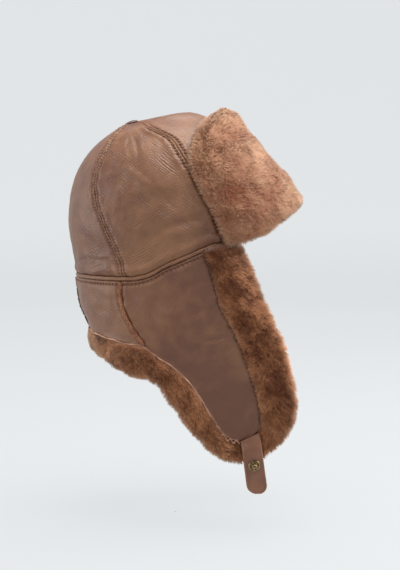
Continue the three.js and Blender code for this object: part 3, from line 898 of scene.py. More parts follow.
class Value:
    """A value in a shader. The signs + - * and ** on it add Math nodes."""

    def __init__(self, wiring: "Wiring", socket: Socket) -> None:
        """Keeps the socket, and the wiring that adds the nodes."""
        self.wiring = wiring
        self.socket = socket

    def __add__(self, other: object) -> "Value":
        """The sum."""
        return self.wiring.maths("ADD", self, other)

    def __sub__(self, other: object) -> "Value":
        """The difference."""
        return self.wiring.maths("SUBTRACT", self, other)

    def __rsub__(self, other: object) -> "Value":
        """The difference, with this value as what is taken away."""
        return self.wiring.maths("SUBTRACT", other, self)

    def __mul__(self, other: object) -> "Value":
        """The product."""
        return self.wiring.maths("MULTIPLY", self, other)

    def __pow__(self, other: object) -> "Value":
        """The power."""
        return self.wiring.maths("POWER", self, other)

    def kept(self) -> "Value":
        """This value, which its node now keeps within 0 and 1."""
        self.socket.node.use_clamp = True
        return self


class Wiring:
    """Adds nodes to a node tree and links them."""

    def __init__(self, tree: NodeTree) -> None:
        """Keeps the tree."""
        self.tree = tree

    def add(self, kind: str, settings: dict[str, object] | None = None,
            **inputs: object) -> Node:
        """Adds a node.

        Args:
            kind: the node type.
            settings: the node's own properties.
            inputs: values or sockets by input name, with _ for a space.

        Returns:
            The node.
        """
        node = self.tree.nodes.new(kind)
        for name, value in (settings or {}).items():
            setattr(node, name, value)
        for name, value in inputs.items():
            self.feed(node.inputs[name.replace("_", " ")], value)
        return node

    def feed(self, socket: Socket, value: object) -> None:
        """Links a socket to an input, or sets its value.

        Args:
            socket: the input.
            value: the socket or value it gets.
        """
        if isinstance(value, Value):
            value = value.socket
        if isinstance(value, Socket):
            self.tree.links.new(value, socket)
        else:
            socket.default_value = value

    def read(self, node: Node, output: str | int = 0) -> Value:
        """An output of a node, as a value."""
        return Value(self, node.outputs[output])

    def maths(self, operation: str, *values: object) -> Value:
        """Adds a Math node.

        Args:
            operation: what it does.
            values: its inputs, in order.

        Returns:
            The result.
        """
        node = self.add("ShaderNodeMath", {"operation": operation})
        for socket, value in zip(node.inputs, values):
            self.feed(socket, value)
        return self.read(node)

    def mix(self, share: object, low: object, high: object) -> Value:
        """Adds a colour Mix node.

        Args:
            share: how much of the high colour there is.
            low: the colour at 0.
            high: the colour at 1.

        Returns:
            The colour.
        """
        node = self.add("ShaderNodeMix", {"data_type": "RGBA", "clamp_factor": True})
        for number, value in ((0, share), (6, low), (7, high)):
            self.feed(node.inputs[number], value)
        return self.read(node, 2)

    def noise(self, place: object, scale: object, detail: float = 3, rough: float = 0.55,
              warp: float = 0.0) -> Value:
        """Adds a Noise Texture.

        Args:
            place: where it is read.
            scale: lumps a metre.
            detail: how many finer layers it has.
            rough: how strong those are.
            warp: how much it is distorted.

        Returns:
            Its value.
        """
        node = self.add("ShaderNodeTexNoise", Vector=place, Scale=scale, Detail=detail,
                        Roughness=rough, Distortion=warp)
        return self.read(node)

    def spread(self, value: object, low: float, high: float) -> Value:
        """Takes a value from low..high to a smooth 0..1.

        Args:
            value: the value.
            low: what becomes 0.
            high: what becomes 1.

        Returns:
            The result.
        """
        node = self.add("ShaderNodeMapRange", {"interpolation_type": "SMOOTHSTEP"},
                        Value=value, From_Min=low, From_Max=high)
        return self.read(node)

    def turned(self, place: object, angle: Sequence[float], stretch: Sequence[float]) -> Value:
        """Reads a place on turned axes and divides it by a stretch along each.

        Args:
            place: the place.
            angle: the turns about x, y and z.
            stretch: how much longer a pattern gets along each axis.

        Returns:
            The new place.
        """
        node = self.add("ShaderNodeMapping", {"vector_type": "TEXTURE"}, Vector=place,
                        Scale=stretch, Rotation=[float(np.radians(a)) for a in angle])
        return self.read(node)

    def bump(self, shader: Node, height: object, distance: float,
             strength: float) -> None:
        """Adds a Bump node and links it to a shader.

        Args:
            shader: the shader.
            height: the height from 0 to 1.
            distance: how high 1 stands, in metres.
            strength: how much of it shows.
        """
        node = self.add("ShaderNodeBump", Height=height, Distance=distance, Strength=strength)
        self.feed(shader.inputs["Normal"], node.outputs[0])

    def place(self) -> Value:
        """The place on the object's own axes."""
        return self.read(self.add("ShaderNodeTexCoord"), "Object")

    def mask(self, name: str) -> Value:
        """The value of a mesh attribute."""
        return self.read(self.add("ShaderNodeAttribute", {"attribute_name": name}), "Fac")


class Effects:
    """Shader node groups that more than one finish uses, each built once."""

    @staticmethod
    def group(name: str, inputs: Sequence[tuple[str, str, object]],
              outputs: Sequence[tuple[str, str]]) -> tuple[Wiring, Node, Node]:
        """Starts a node group.

        Args:
            name: the group's name.
            inputs: name, kind and value of each input.
            outputs: name and kind of each output.

        Returns:
            The wiring, the input node and the output node.
        """
        tree = bpy.data.node_groups.new(name, "ShaderNodeTree")
        for title, kind, value in inputs:
            socket = tree.interface.new_socket(title, in_out="INPUT", socket_type=f"NodeSocket{kind}")
            if value is not None:
                socket.default_value = value
        for title, kind in outputs:
            tree.interface.new_socket(title, in_out="OUTPUT", socket_type=f"NodeSocket{kind}")
        wiring = Wiring(tree)
        return wiring, wiring.add("NodeGroupInput"), wiring.add("NodeGroupOutput")

    @staticmethod
    @cache
    def grain() -> NodeTree:
        """Leather grain: pores, wrinkles along two slants by their masks, and slow changes of tone.

        Returns:
            The group.
        """
        w, given, out = Effects.group(
            "leather_grain",
            [("Vector", "Vector", None), ("Pores", "Float", 900.0), ("Crease", "Float", 1.0),
             ("Falling", "Float", 0.0), ("Rising", "Float", 0.0)],
            [("Height", "Float"), ("Tone", "Float"), ("Crease", "Float")])
        place = w.read(given, "Vector")
        pores = w.read(w.add("ShaderNodeTexVoronoi", {"feature": "SMOOTH_F1"}, Vector=place,
                             Scale=w.read(given, "Pores"), Smoothness=0.6), "Distance")
        fine, pebble = w.noise(place, 2200.0, 2), w.noise(place, 430.0, 2, 0.5, 0.3)
        crossed = 0.0
        for angle, name, patch in ((38, "Falling", 27.0), (-32, "Rising", 33.0)):
            waves = w.add("ShaderNodeTexWave", {"bands_direction": "Z"}, Distortion=8.0, Scale=122.0,
                          Vector=w.turned(place, (angle, 0, 0), (1, 1, 1)), Detail=2.0,
                          Detail_Scale=0.5)
            broken = w.noise(w.turned(place, (angle, 0, 0), (1, 3.5, 1)), 150.0, 2)
            stray = w.spread(w.noise(place, patch, 2), 0.44, 0.64) * 0.5
            wrinkle = w.read(waves, "Fac") ** 1.8 * w.spread(broken, 0.4, 0.62)
            crossed = wrinkle * (w.read(given, name) + stray).kept() + crossed
        crease = (crossed * w.read(given, "Crease")).kept()
        height = pores * 0.3 + fine * 0.1 + pebble * 0.4 - crease * 0.42
        tone = w.noise(place, 14.0, 3, 0.6, 0.5) * 0.65 + w.noise(place, 70.0, 3) * 0.35
        w.feed(out.inputs["Height"], height)
        w.feed(out.inputs["Tone"], w.spread(tone, 0.3, 0.7))
        w.feed(out.inputs["Crease"], crease)
        return w.tree

    @staticmethod
    @cache
    def mottle() -> NodeTree:
        """Fur colour: darker at the roots as painted shade low in the pile, lighter at the tips, in soft
        patches and flecks, with painted shade along the partings.

        Returns:
            The group.
        """
        w, given, out = Effects.group(
            "pile_mottle",
            [("Vector", "Vector", None), ("Tip", "Float", 0.0), ("Shade", "Float", 0.5),
             ("Patch", "Float", 26.0), ("Depth", "Float", 0.6), ("Parting", "Float", 0.5),
             ("Dark", "Color", None), ("Middle", "Color", None), ("Light", "Color", None)],
            [("Color", "Color"), ("Light", "Float")])
        place = w.read(given, "Vector")
        combed = w.turned(place, (46, 0, 0), (1, 4.0, 1))
        broad = w.spread(w.noise(place, w.read(given, "Patch"), 3, 0.55, 1.2), 0.34, 0.66)
        flecks = w.spread(w.noise(combed, 260.0, 2, 0.5, 0.4), 0.32, 0.68)
        # Painted shade along the partings in the fur.
        parting = w.maths("ABSOLUTE", w.noise(place, 72.0, 3, 0.5, 1.2) - 0.5)
        parting = (1.0 - w.spread(parting, 0.0, 0.045)) * w.spread(
            w.noise(place, 30.0, 1), 0.42, 0.58)
        amount = broad * 0.5 + flecks * 0.35 + w.read(given, "Shade") * 0.3
        amount = (amount - parting * w.read(given, "Parting")).kept()
        dark, middle, light = (w.read(given, name) for name in ("Dark", "Middle", "Light"))
        # Painted shade: roots, low in the pile, lean to the dark colour.
        root, tip = w.mix(amount, dark, middle), w.mix(amount, middle, light)
        rise = w.read(given, "Tip") ** w.read(given, "Depth")
        w.feed(out.inputs["Color"], w.mix(rise, root, tip))
        w.feed(out.inputs["Light"], amount)
        return w.tree

    @staticmethod
    @cache
    def wear() -> NodeTree:
        """Rubbed places: a mask broken up by noise lets a worn colour through.

        Returns:
            The group.
        """
        w, given, out = Effects.group(
            "rubbed_wear",
            [("Vector", "Vector", None), ("Color", "Color", None), ("Worn", "Color", None),
             ("Mask", "Float", 0.0)],
            [("Color", "Color"), ("Mask", "Float")])
        broken = w.spread(w.noise(w.read(given, "Vector"), 320.0, 4, 0.65), 0.32, 0.62)
        mask = (w.read(given, "Mask") * broken).kept()
        w.feed(out.inputs["Color"], w.mix(mask, w.read(given, "Color"), w.read(given, "Worn")))
        w.feed(out.inputs["Mask"], mask)
        return w.tree


def shade(red: int, green: int, blue: int) -> Colour:
    """A linear colour from screen values of 0 to 255.

    Args:
        red: the red value.
        green: the green value.
        blue: the blue value.

    Returns:
        Red, green, blue and 1.
    """
    c = np.array([red, green, blue]) / 255
    linear = np.where(c <= 0.04045, c / 12.92, ((c + 0.055) / 1.055) ** 2.4)
    return (*(float(v) for v in linear), 1.0)


def new_material(name: str,
                 **inputs: object) -> tuple[Material, Wiring, Node]:
    """Starts a material.

    Args:
        name: its name.
        inputs: fixed values for its Principled BSDF node, with _ for a space.

    Returns:
        The material, its wiring and its Principled BSDF node.
    """
    material = bpy.data.materials.new(name)
    material.use_nodes = True
    tree = material.node_tree
    tree.nodes.clear()
    wiring = Wiring(tree)
    shader = wiring.add("ShaderNodeBsdfPrincipled", **inputs)
    wiring.add("ShaderNodeOutputMaterial", Surface=shader.outputs[0])
    return material, wiring, shader


@dataclass(frozen=True)
class LeatherFinish:
    """Smooth nappa leather with fine creases and pale cut edges; painted shade darkens its needle holes
    and crevices, and painted light and shade shift its tone over whole panels.
    """

    name: str
    middle: Colour
    dark: Colour
    light: Colour
    cut: Colour = shade(206, 158, 132)
    # The colour of the painted shade in needle holes and crevices.
    shaded_hole: Colour = shade(48, 27, 18)
    pores: float = 900.0
    crease: float = 1.0
    roughness: float = 0.46
    bump: float = 0.0010

    def material(self) -> Material:
        """Builds the material.

        Returns:
            The material.
        """
        made, w, shader = new_material(
            self.name, Specular_IOR_Level=0.5, Sheen_Weight=0.03, Sheen_Roughness=0.45,
            Sheen_Tint=(0.80, 0.78, 0.80, 1))
        place = w.place()
        grain = w.add("ShaderNodeGroup", {"node_tree": Effects.grain()},
                      Vector=place, Pores=self.pores, Crease=self.crease,
                      Falling=w.mask("falling"), Rising=w.mask("rising"))
        # Painted light and shade: a mask darkens the tone, and lightens it where it is below 0.
        tone = (w.read(grain, "Tone") - w.mask("deep")).kept()
        colour = w.mix(tone, self.dark, self.light)
        colour = w.mix(0.45, colour, self.middle)
        colour = w.mix(w.read(grain, "Crease") * 0.25, colour, self.dark)
        # Painted shade in crevices: along seams, under edges and in pressed lines.
        colour = w.mix(w.mask("crevice") * 0.35, colour, self.shaded_hole)
        worn = w.add("ShaderNodeGroup", {"node_tree": Effects.wear()},
                     Vector=place, Color=colour, Worn=self.light, Mask=w.mask("proud"))
        wave = w.maths("COSINE", w.mask("stitch") * float(2 * np.pi))
        # Needle holes along the stitch rows, painted dark as their shade; the same mask dents the bump.
        shaded_hole = w.mask("row") * w.maths("MULTIPLY_ADD", wave, 0.5, 0.5) ** 1.3
        ladder = w.mask("pucker") * wave
        colour = w.mix(shaded_hole * 0.85, w.read(worn, "Color"), self.shaded_hole)
        w.feed(shader.inputs["Base Color"], w.mix(w.mask("cut"), colour, self.cut))
        rough = tone * 0.12 + (self.roughness - 0.06) + w.mask("cut") * 0.35
        w.feed(shader.inputs["Roughness"], rough.kept())
        height = w.read(grain, "Height") - shaded_hole * 0.9 - ladder * 0.24
        w.bump(shader, height, self.bump, 0.75)
        return made


@dataclass(frozen=True)
class FurFinish:
    """Sheared wool: roots painted dark as shade low in the pile, light tips, a soft sheen at the outline,
    and a painted glow in its own colour.
    """

    name: str
    dark: Colour
    middle: Colour
    light: Colour
    patch: float = 26.0
    depth: float = 0.6
    sheen: float = 0.5
    parting: float = 0.45
    # How strongly the fur glows in its own colour: painted light in its shaded parts.
    painted_glow: float = 0.03

    def material(self) -> Material:
        """Builds the material.

        Returns:
            The material.
        """
        made, w, shader = new_material(
            self.name, Emission_Strength=self.painted_glow, Specular_IOR_Level=0.2,
            Sheen_Weight=self.sheen, Sheen_Roughness=0.5, Sheen_Tint=(0.95, 0.80, 0.66, 1))
        place = w.place()
        mottle = w.add("ShaderNodeGroup", {"node_tree": Effects.mottle()},
                       Vector=place, Tip=w.mask("tip"), Shade=w.mask("shade"), Patch=self.patch,
                       Depth=self.depth, Parting=self.parting, Dark=self.dark,
                       Middle=self.middle, Light=self.light)
        # Painted glow: the fur's colour is emitted too, which lightens its shade.
        for name in ("Base Color", "Emission Color"):
            w.feed(shader.inputs[name], mottle.outputs["Color"])
        w.feed(shader.inputs["Roughness"], 0.92 - w.read(mottle, "Light") * 0.12)
        w.bump(shader, w.noise(place, 420.0, 4, 0.6, 0.5), 0.0006, 0.5)
        return made


@dataclass(frozen=True)
class ThreadFinish:
    """Twisted sewing thread."""

    name: str
    colour: Colour
    dark: Colour

    def material(self) -> Material:
        """Builds the material.

        Returns:
            The material.
        """
        made, w, shader = new_material(self.name)
        strands = w.noise(w.turned(w.place(), (35, 20, 0), (1, 1, 1)), 1500.0, 2)
        w.feed(shader.inputs["Base Color"],
               w.mix(w.spread(strands, 0.35, 0.65), self.dark, self.colour))
        w.feed(shader.inputs["Roughness"], strands * 0.2 + 0.55)
        w.bump(shader, strands, 0.0002, 0.6)
        return made


@dataclass(frozen=True)
class BrassFinish:
    """Aged brass: dark in its hollows and rubbed bright on its rims."""

    name: str
    aged: Colour = shade(86, 68, 50)
    bright: Colour = shade(198, 168, 122)

    def material(self) -> Material:
        """Builds the material.

        Returns:
            The material.
        """
        made, w, shader = new_material(self.name, Metallic=1.0)
        place = w.place()
        worn = w.add("ShaderNodeGroup", {"node_tree": Effects.wear()},
                     Vector=place, Color=self.aged, Worn=self.bright, Mask=w.mask("proud"))
        w.feed(shader.inputs["Base Color"], worn.outputs["Color"])
        stains = w.noise(place, 700.0, 4, 0.6)
        w.feed(shader.inputs["Roughness"], stains * 0.2 + 0.34 - w.read(worn, "Mask") * 0.12)
        w.bump(shader, stains, 0.0001, 0.4)
        return made


class Finishes:
    """The helmet's materials, each made once."""

    def __init__(self) -> None:
        """Builds every material."""
        self.leather = LeatherFinish("panel_leather", shade(114, 71, 46), shade(86, 48, 33),
                                     shade(140, 99, 65)).material()
        self.strap = LeatherFinish("strap_leather", shade(121, 75, 50), shade(90, 52, 34),
                                   shade(150, 104, 78), pores=1100.0, crease=0.4,
                                   roughness=0.42).material()
        # The button's leather is a darker copy of the leather: painted shade.
        self.button = LeatherFinish("shade_painted_button_leather", shade(78, 50, 40), shade(60, 37, 30),
                                    shade(98, 66, 52), pores=1100.0, crease=0.4).material()
        self.trim = FurFinish("trim_fur", shade(48, 19, 12), shade(118, 63, 38),
                              shade(214, 150, 104), patch=30.0, depth=0.8, sheen=0.7).material()
        self.brow = FurFinish("brow_fur", shade(107, 47, 30), shade(148, 92, 66),
                              shade(200, 158, 125), patch=20.0, depth=0.58, parting=0.1,
                              painted_glow=0.08).material()
        self.wool = FurFinish("inner_wool", shade(84, 50, 33), shade(150, 102, 70),
                              shade(198, 150, 112), sheen=0.2).material()
        self.welt = FurFinish("raw_welt", shade(90, 48, 34), shade(152, 94, 70),
                              shade(208, 150, 118), patch=90.0, sheen=0.1).material()
        # The centre back welt's finish is a darker copy of the welt's: painted shade.
        self.shade_painted_welt = FurFinish("shade_painted_welt", shade(44, 28, 20), shade(86, 56, 40),
                                   shade(130, 92, 68), patch=60.0, sheen=0.1).material()
        self.thread = ThreadFinish("thread", shade(146, 88, 54), shade(92, 50, 31)).material()
        self.pale_thread = ThreadFinish("pale_thread", shade(206, 150, 116),
                                        shade(140, 84, 60)).material()
        self.brass = BrassFinish("snap_brass").material()


@dataclass
class Crown:
    """The crown: four leather panels, wool inside, between seams that run to the button.

    A turn goes round from the brow and t runs from the top (0) to the lower edge (1).
    """

    finishes: Finishes
    half_length: float = 0.107
    half_width: float = 0.089
    height: float = 0.174
    brow_rise: float = 0.076
    strip_height: float = 0.0044
    skin: float = 0.0078
    strands: int = 3600
    thinning: float = 0.4
    eye: float = 0.015
    gap: float = -0.0005
    fine: float = 0.0008
    fine_reach: float = 0.011
    length_down: float = 0.150
    low: float = 0.9
    low_rows: int = 24
    hem_roll: Bells = Bells(((-0.0003, 0.0, 0.0009), (0.0016, 0.006, 0.0042)))
    hem_gather: Gather = Gather(0.0006, 0.0031, 0.014, 2.0, 0.017)
    sharp: float = 0.0006
    rubbed: float = 0.0009
    tack_away: float = 0.0009
    tack_pitch: float = 0.0027
    tack: Thread = Thread(radius=0.00032)
    front_seam: SeamRelief = SeamRelief()
    back_seam: SeamRelief = SeamRelief(swell=0.0005, turned=0.0017, line=0.0033, channel=0.0003,
                                       puff=0.0008, pitch=0.0034, first=0.14, mark=0.0009,
                                       strong=0.6)
    rows: Table = Table("drop crest front back middle half", [
        (0.00, 0.058, 0.000, 0.458, 0.458, 0.458, 0.000),
        (0.10, 0.052, 0.044, 0.060, 0.500, 0.330, 0.170),
        (0.155, 0.053, 0.064, -0.160, 0.522, 0.260, 0.262),
        (0.21, 0.062, 0.028, -0.355, 0.545, 0.206, 0.340),
        (0.29, 0.105, 0.000, -0.444, 0.645, 0.160, 0.530),
        (0.355, 0.163, 0.000, -0.500, 0.771, 0.140, 0.652),
        (0.425, 0.233, 0.000, -0.565, 0.874, 0.140, 0.764),
        (0.505, 0.326, 0.000, -0.640, 0.977, 0.136, 0.865),
        (0.605, 0.453, 0.000, -0.738, 1.047, 0.126, 0.949),
        (0.70, 0.581, 0.000, -0.818, 1.079, 0.103, 0.989),
        (0.79, 0.709, 0.000, -0.893, 1.079, 0.075, 1.011),
        (0.91, 0.872, 0.000, -0.944, 1.037, 0.033, 1.011),
        (1.00, 1.000, 0.000, -1.000, 0.997, 0.000, 1.000),
        (1.10, 1.130, 0.000, -1.020, 0.980, 0.000, 0.995),
        (1.20, 1.260, 0.000, -1.030, 0.970, 0.000, 0.990)])
    edge: Table = Table("rise", [
        (-1.00, 1.00), (-0.80, 0.72), (-0.55, 0.535), (-0.36, 0.475), (-0.19, 0.375),
        (-0.05, 0.290), (0.09, 0.205), (0.20, 0.115), (0.32, 0.060), (0.50, 0.040), (1.00, 0.048)])
    seams: Table = Table("front back", [
        (0.00, 116, 152), (0.20, 107, 150), (0.30, 93, 145), (0.38, 80, 138), (0.46, 75, 136),
        (0.565, 70.5, 135.5), (0.68, 66.5, 131), (0.79, 63.2, 125), (0.90, 61.2, 120),
        (1.00, 60.5, 118.5)])
    dents: tuple[tuple[float, float, float, float, float], ...] = (
        (118, 0.56, 14, 0.06, 1.6), (94, 0.70, 16, 0.05, 1.4), (150, 0.88, 12, 0.05, 1.8),
        (160, 0.60, 10, 0.08, 1.2), (204, 0.84, 13, 0.05, 1.8), (246, 0.60, 14, 0.06, 1.6),
        (270, 0.76, 16, 0.05, 1.4))
    right_folds: tuple[Fold, ...] = (
        Fold((60, 131), (7, 96), 2.2, 0.55), Fold((56, 124), (12, 88), -2.0, -0.6),
        Fold((48, 158), (42, 112), 3.0, 0.7), Fold((43, 150), (38, 118), -2.4, -0.6),
        Fold((20, 99), (-29, 57), 2.2, 0.45), Fold((30, 92), (-18, 50), -2.4, -0.45),
        Fold((73, 124), (46, 101), 2.0, 0.5), Fold((10, 50), (-46, 72), 5.0, 1.1),
        Fold((22, 44), (-40, 62), -3.5, -0.8), Fold((64, 66), (22, 52), 4.0, 0.6),
        Fold((52, 88), (8, 70), -3.0, -0.5), Fold((-8, 128), (-34, 104), 3.0, 0.6),
        Fold((102, 10), (68, 15), 2.0, 0.9), Fold((106, 17), (72, 21), -2.2, -0.9),
        Fold((98, 30), (66, 27), 2.6, 0.7), Fold((104, 52), (80, 34), -3.0, -0.8),
        Fold((100, 70), (84, 46), 4.0, 0.8))
    left_folds: tuple[Fold, ...] = (
        Fold((54, 120), (10, 84), 2.4, 0.6), Fold((34, 140), (28, 100), -2.6, -0.6),
        Fold((12, 92), (-30, 60), 2.4, 0.5), Fold((16, 50), (-40, 66), 5.0, 1.0),
        Fold((60, 60), (20, 46), -4.0, -0.7), Fold((100, 14), (70, 18), 2.0, 0.9),
        Fold((102, 28), (70, 24), -2.4, -0.8), Fold((98, 60), (80, 38), 3.6, 0.8))
    falling: tuple[Fold, ...] = (
        Fold((60, 142), (26, 84), 10, 1), Fold((44, 98), (-26, 62), 11, 1),
        Fold((24, 144), (-12, 110), 9, 1), Fold((92, 60), (74, 30), 9, 1),
        Fold((84, 100), (66, 70), 8, 1), Fold((-2, 100), (-34, 74), 8, 1))
    rising: tuple[Fold, ...] = (
        Fold((12, 74), (-24, 104), 9, 1), Fold((50, 26), (-52, 66), 12, 1),
        Fold((72, 102), (50, 128), 8, 1), Fold((104, 16), (70, 26), 9, 1),
        Fold((40, 60), (4, 80), 9, 1))

    def edge_height(self, y: Array) -> Array:
        """Height of the crown's lower edge at a length."""
        return self.brow_rise * self.edge("rise", y / self.half_length)

    def point(self, turn: Array, t: Array) -> Array:
        """Points on the outer face: y = L(middle - reach cos turn), x = -W half sin turn.

        The height falls from the top to the edge by the drop column, and the front has a crest.

        Args:
            turn: the turns.
            t: shares down from the top.

        Returns:
            The points.
        """
        angle = np.radians(turn)
        ahead = np.cos(angle)
        front, back, middle = (self.rows(name, t) for name in ("front", "back", "middle"))
        reach = np.where(ahead > 0, middle - front, back - middle)
        y = self.half_length * (middle - reach * ahead)
        x = -self.half_width * self.rows("half", t) * np.sin(angle)
        edge = self.edge_height(-self.half_length * ahead) + self.strip_height / 2
        crest = self.height * self.rows("crest", t) * ((1 + ahead) / 2) ** 1.5
        z = self.height - (self.height - edge) * self.rows("drop", t) + crest
        return np.stack(np.broadcast_arrays(x, y, z), -1)

    def normal(self, turn: Array, t: Array) -> Array:
        """Outward normals of the outer face."""
        return surface_normals(self.point, turn, np.maximum(t, 0.02), (0.5, 0.004))

    def dent(self, turn: Array, t: Array) -> Array:
        """Depth of the shallow dents: a sum of bells over turn and t.

        Args:
            turn: the turns.
            t: shares down from the top.

        Returns:
            The depth there.
        """
        turn = np.mod(turn, 360)
        return sum(depth * MM * np.exp(-(((turn - at) / wide) ** 2) - ((t - row) / tall) ** 2)
                   for at, row, wide, tall, depth in self.dents)

    def tone(self, points: Array) -> Array:
        """How much darker the leather is painted: darker to the back, and paler at the side's foot by a
        painted highlight.
        """
        pale = bell(np.hypot(points[..., 1] - 0.014, points[..., 2] - 0.034), 0.036)
        return 0.32 * smooth(points[..., 1], 0.035, 0.075) - 0.5 * pale

    def folds(self, points: Array) -> Array:
        """Height of the soft folds, each side's own, fading out towards the middle.

        Args:
            points: places on the face.

        Returns:
            The height there.
        """
        right = sum(fold.lift(points) for fold in self.right_folds)
        left = sum(fold.lift(points) for fold in self.left_folds)
        side = smooth(points[..., 0], -0.03, 0.03)
        return right * (1 - side) * smooth(-points[..., 0], 0.0, 0.035) + left * side * smooth(
            points[..., 0], 0.0, 0.035)

    def seam_turn(self, seam: str, side: Side, t: Array) -> Array:
        """The turn of the front or back seam on one side, at t."""
        return -side.value * self.seams(seam, t)

    def spaced(self, width: float, coarse: float) -> tuple[Array, Array]:
        """A panel's grid, in fine steps near its seams and its lower edge.

        Args:
            width: about how wide the panel is.
            coarse: the steps elsewhere.

        Returns:
            Shares down and across.
        """
        across = edge_spaced(width, self.fine, coarse, self.fine_reach)
        upper = np.linspace(0, self.low, round(self.length_down / coarse) + 1)[:-1]
        down = np.concatenate([upper, np.linspace(self.low, 1, self.low_rows)])
        return tuple(np.meshgrid(down, across, indexing="ij"))

    def sew(self, outer: Array, normal: Array, t: Array, relief: SeamRelief, away: Array,
            opened: Array) -> tuple[Mesh, Array]:
        """Lays the row of stitches beside a seam, and tacks the seam above the row's start.

        Args:
            outer: the grid of the panel's outer face.
            normal: its normals.
            t: how far down each row of the grid is.
            relief: the section of the leather beside the seam.
            away: distance from the seam over the grid.
            opened: how far the seam has opened into its full section, a row.

        Returns:
            The stitches, and how many lie before each row.
        """
        line, kept = row_at(outer, away, relief.line)
        kept &= opened > 0.3
        count = np.zeros(len(line))
        count[kept] = counted(line[kept], relief.pitch)
        thread = sewn(outer, normal, away, relief.line, Thread(radius=0.45 * relief.mark),
                      relief.pitch, kept)
        high = (opened < 0.5) & (t > 0.03)
        tacks = sewn(outer, normal, away, self.tack_away, self.tack, self.tack_pitch, high)
        return thread.join(tacks), count

    def panel(self, name: str, starts: tuple[str, Side], ends: tuple[str, Side],
              reliefs: tuple[SeamRelief, SeamRelief], width: float, coarse: float,
              seed: int) -> Mesh:
        """Builds a panel between two seams, its wool inside, and its rows of stitches.

        Args:
            name: the piece's name.
            starts: the first seam and its side.
            ends: the last seam and its side.
            reliefs: the sections of the leather beside the first and last seam.
            width: about how wide the panel is at its lower edge.
            coarse: cell size away from the seams.
            seed: picks the wool's lumps.

        Returns:
            The rows of stitches.
        """
        down, across = self.spaced(width, coarse)
        t = blend(self.eye, 1.0, down)
        first, last = self.seam_turn(*starts, t), self.seam_turn(*ends, t)
        turn = blend(first, np.where(last < first, last + 360, last), across)
        normal = self.normal(turn, t)
        body = self.point(turn, t) - normal * self.dent(turn, t)[..., None]
        onward = unit(np.gradient(body, axis=1))
        body = body + onward * (self.gap * (0.5 - across))[..., None]
        walked = walk(body, 1)
        full = walked[:, -1:]
        low = walk(body, 0)
        below = low[-1:] - low
        along = np.broadcast_to(low[:, :1], low.shape)
        sides = [walked, full - walked]
        opened = [smooth(full, 0.02, 0.05)
                  * smooth(t, relief.first, relief.first + relief.opening) for relief in reliefs]
        height = sum(relief.height(away, along) * share
                     for relief, away, share in zip(reliefs, sides, opened))
        height = height + self.hem_roll(below) + self.hem_gather(walked, below) + self.folds(body)
        height = height + rippled(body, seed, (0.0005, 0.028), (0.00016, 0.008))
        height = height - 0.0004 * sum((1 - share) * bell(away, self.rubbed)
                                       for away, share in zip(sides, opened))
        outer = body + normal * height[..., None]
        thick = self.skin * blend(self.thinning, 1.0, smooth(t, 0.05, 0.4))
        inner = body - normal * (thick + wool_lumps(body, seed + 2))[..., None]
        # Painted shade along the seams and under the lower edge.
        crevice = 0.8 * sum(bell(away, self.sharp) for away in sides) + 0.5 * bell(below, self.sharp)
        proud = sum(bell(away - relief.turned, self.rubbed) * share
                    for relief, away, share in zip(reliefs, sides, opened))
        thread, row, pucker, counts = Mesh(), 0.0, 0.0, []
        for relief, away, share in zip(reliefs, sides, opened):
            row = row + relief.strong * bell(away - relief.line, relief.mark) * share
            pucker = pucker + bell(away - relief.line, relief.puff_width) * share
            stitches, count = self.sew(outer, normal, t[:, 0], relief, away, share.max(1))
            thread.join(stitches)
            counts.append(count[:, None])
        stitch = np.where(walked < full / 2, *counts)
        # The masks also paint light and shade: the leather darker to the back and paler at the side's
        # foot by a painted highlight, and the inner wool's base part way to its dark roots as painted
        # shade.
        mesh = shell(outer, inner, row=np.clip(row, 0, 1), pucker=np.clip(pucker, 0, 1),
                     stitch=stitch, crevice=np.clip(crevice, 0, 1),
                     proud=np.clip(0.5 * proud, 0, 1), tip=0.35, shade=0.5, deep=self.tone(body),
                     falling=creased(body, self.falling), rising=creased(body, self.rising))
        woolly(mesh, self.strands, seed + 5)
        mesh.piece(name, Slot.LEATHER, [self.finishes.leather, self.finishes.wool], name)
        return thread

    def build(self) -> None:
        """Builds the four panels, their stitches and the button."""
        brow, nape = self.front_seam, self.back_seam
        (front_right, back_right), (front_left, back_left) = (
            (("front", side), ("back", side)) for side in Side)
        thread = Mesh()
        for name, *plan in (
                ("front", front_left, front_right, (brow, brow), 0.19, 0.0030, 10),
                ("right", front_right, back_right, (brow, nape), 0.11, 0.0019, 20),
                ("left", back_left, front_left, (nape, brow), 0.11, 0.0021, 30),
                ("back", back_right, back_left, (nape, nape), 0.17, 0.0022, 40)):
            thread.join(self.panel(f"crown_panel_{name}", *plan))
        thread.piece("crown_stitching", Slot.WELT, [self.finishes.thread])
        self.button()

    def button(self) -> None:
        """The covered button: a dome turned about its axis, gathered in pleats at its rim.

        Its radius and height follow a profile, and the pleats wave the rim by cos(22 turn).
        """
        radius, height, tilt = 0.0086, 0.0042, np.radians(23)
        back, sink, rings, pleats = 0.0010, 0.0019, 15, 22
        share = np.linspace(0, 1, rings)[:, None]
        angle = circle(72)[None]
        bend = share * 0.62 * np.pi
        pleat = 1 + 0.02 * np.cos(pleats * angle) * smooth(share, 0.45, 0.95)
        out = radius * np.sin(bend) * pleat
        up = height * (0.10 + 0.70 * np.cos(bend)) - 0.00025 * bell(out - 0.0066, 0.0006)
        local = np.stack(np.broadcast_arrays(out * np.cos(angle), out * np.sin(angle), up), -1)
        local = np.concatenate([local, local[-1:] * [0.8, 0.8, 0] - [0, 0, 0.9 * height]])
        top = self.point(np.array(0.0), np.array(0.0))
        y = local[..., 1] * np.cos(tilt) + local[..., 2] * np.sin(tilt)
        z = -local[..., 1] * np.sin(tilt) + local[..., 2] * np.cos(tilt)
        points = np.stack([local[..., 0], y + top[1] - back, z + top[2] - sink], -1)
        mesh = tube(points, proud=0.4 * bell(share[[*range(rings), rings - 1]] - 0.55, 0.2))
        mesh.piece("crown_button", Slot.STRAP, [self.finishes.button], "crown_button")


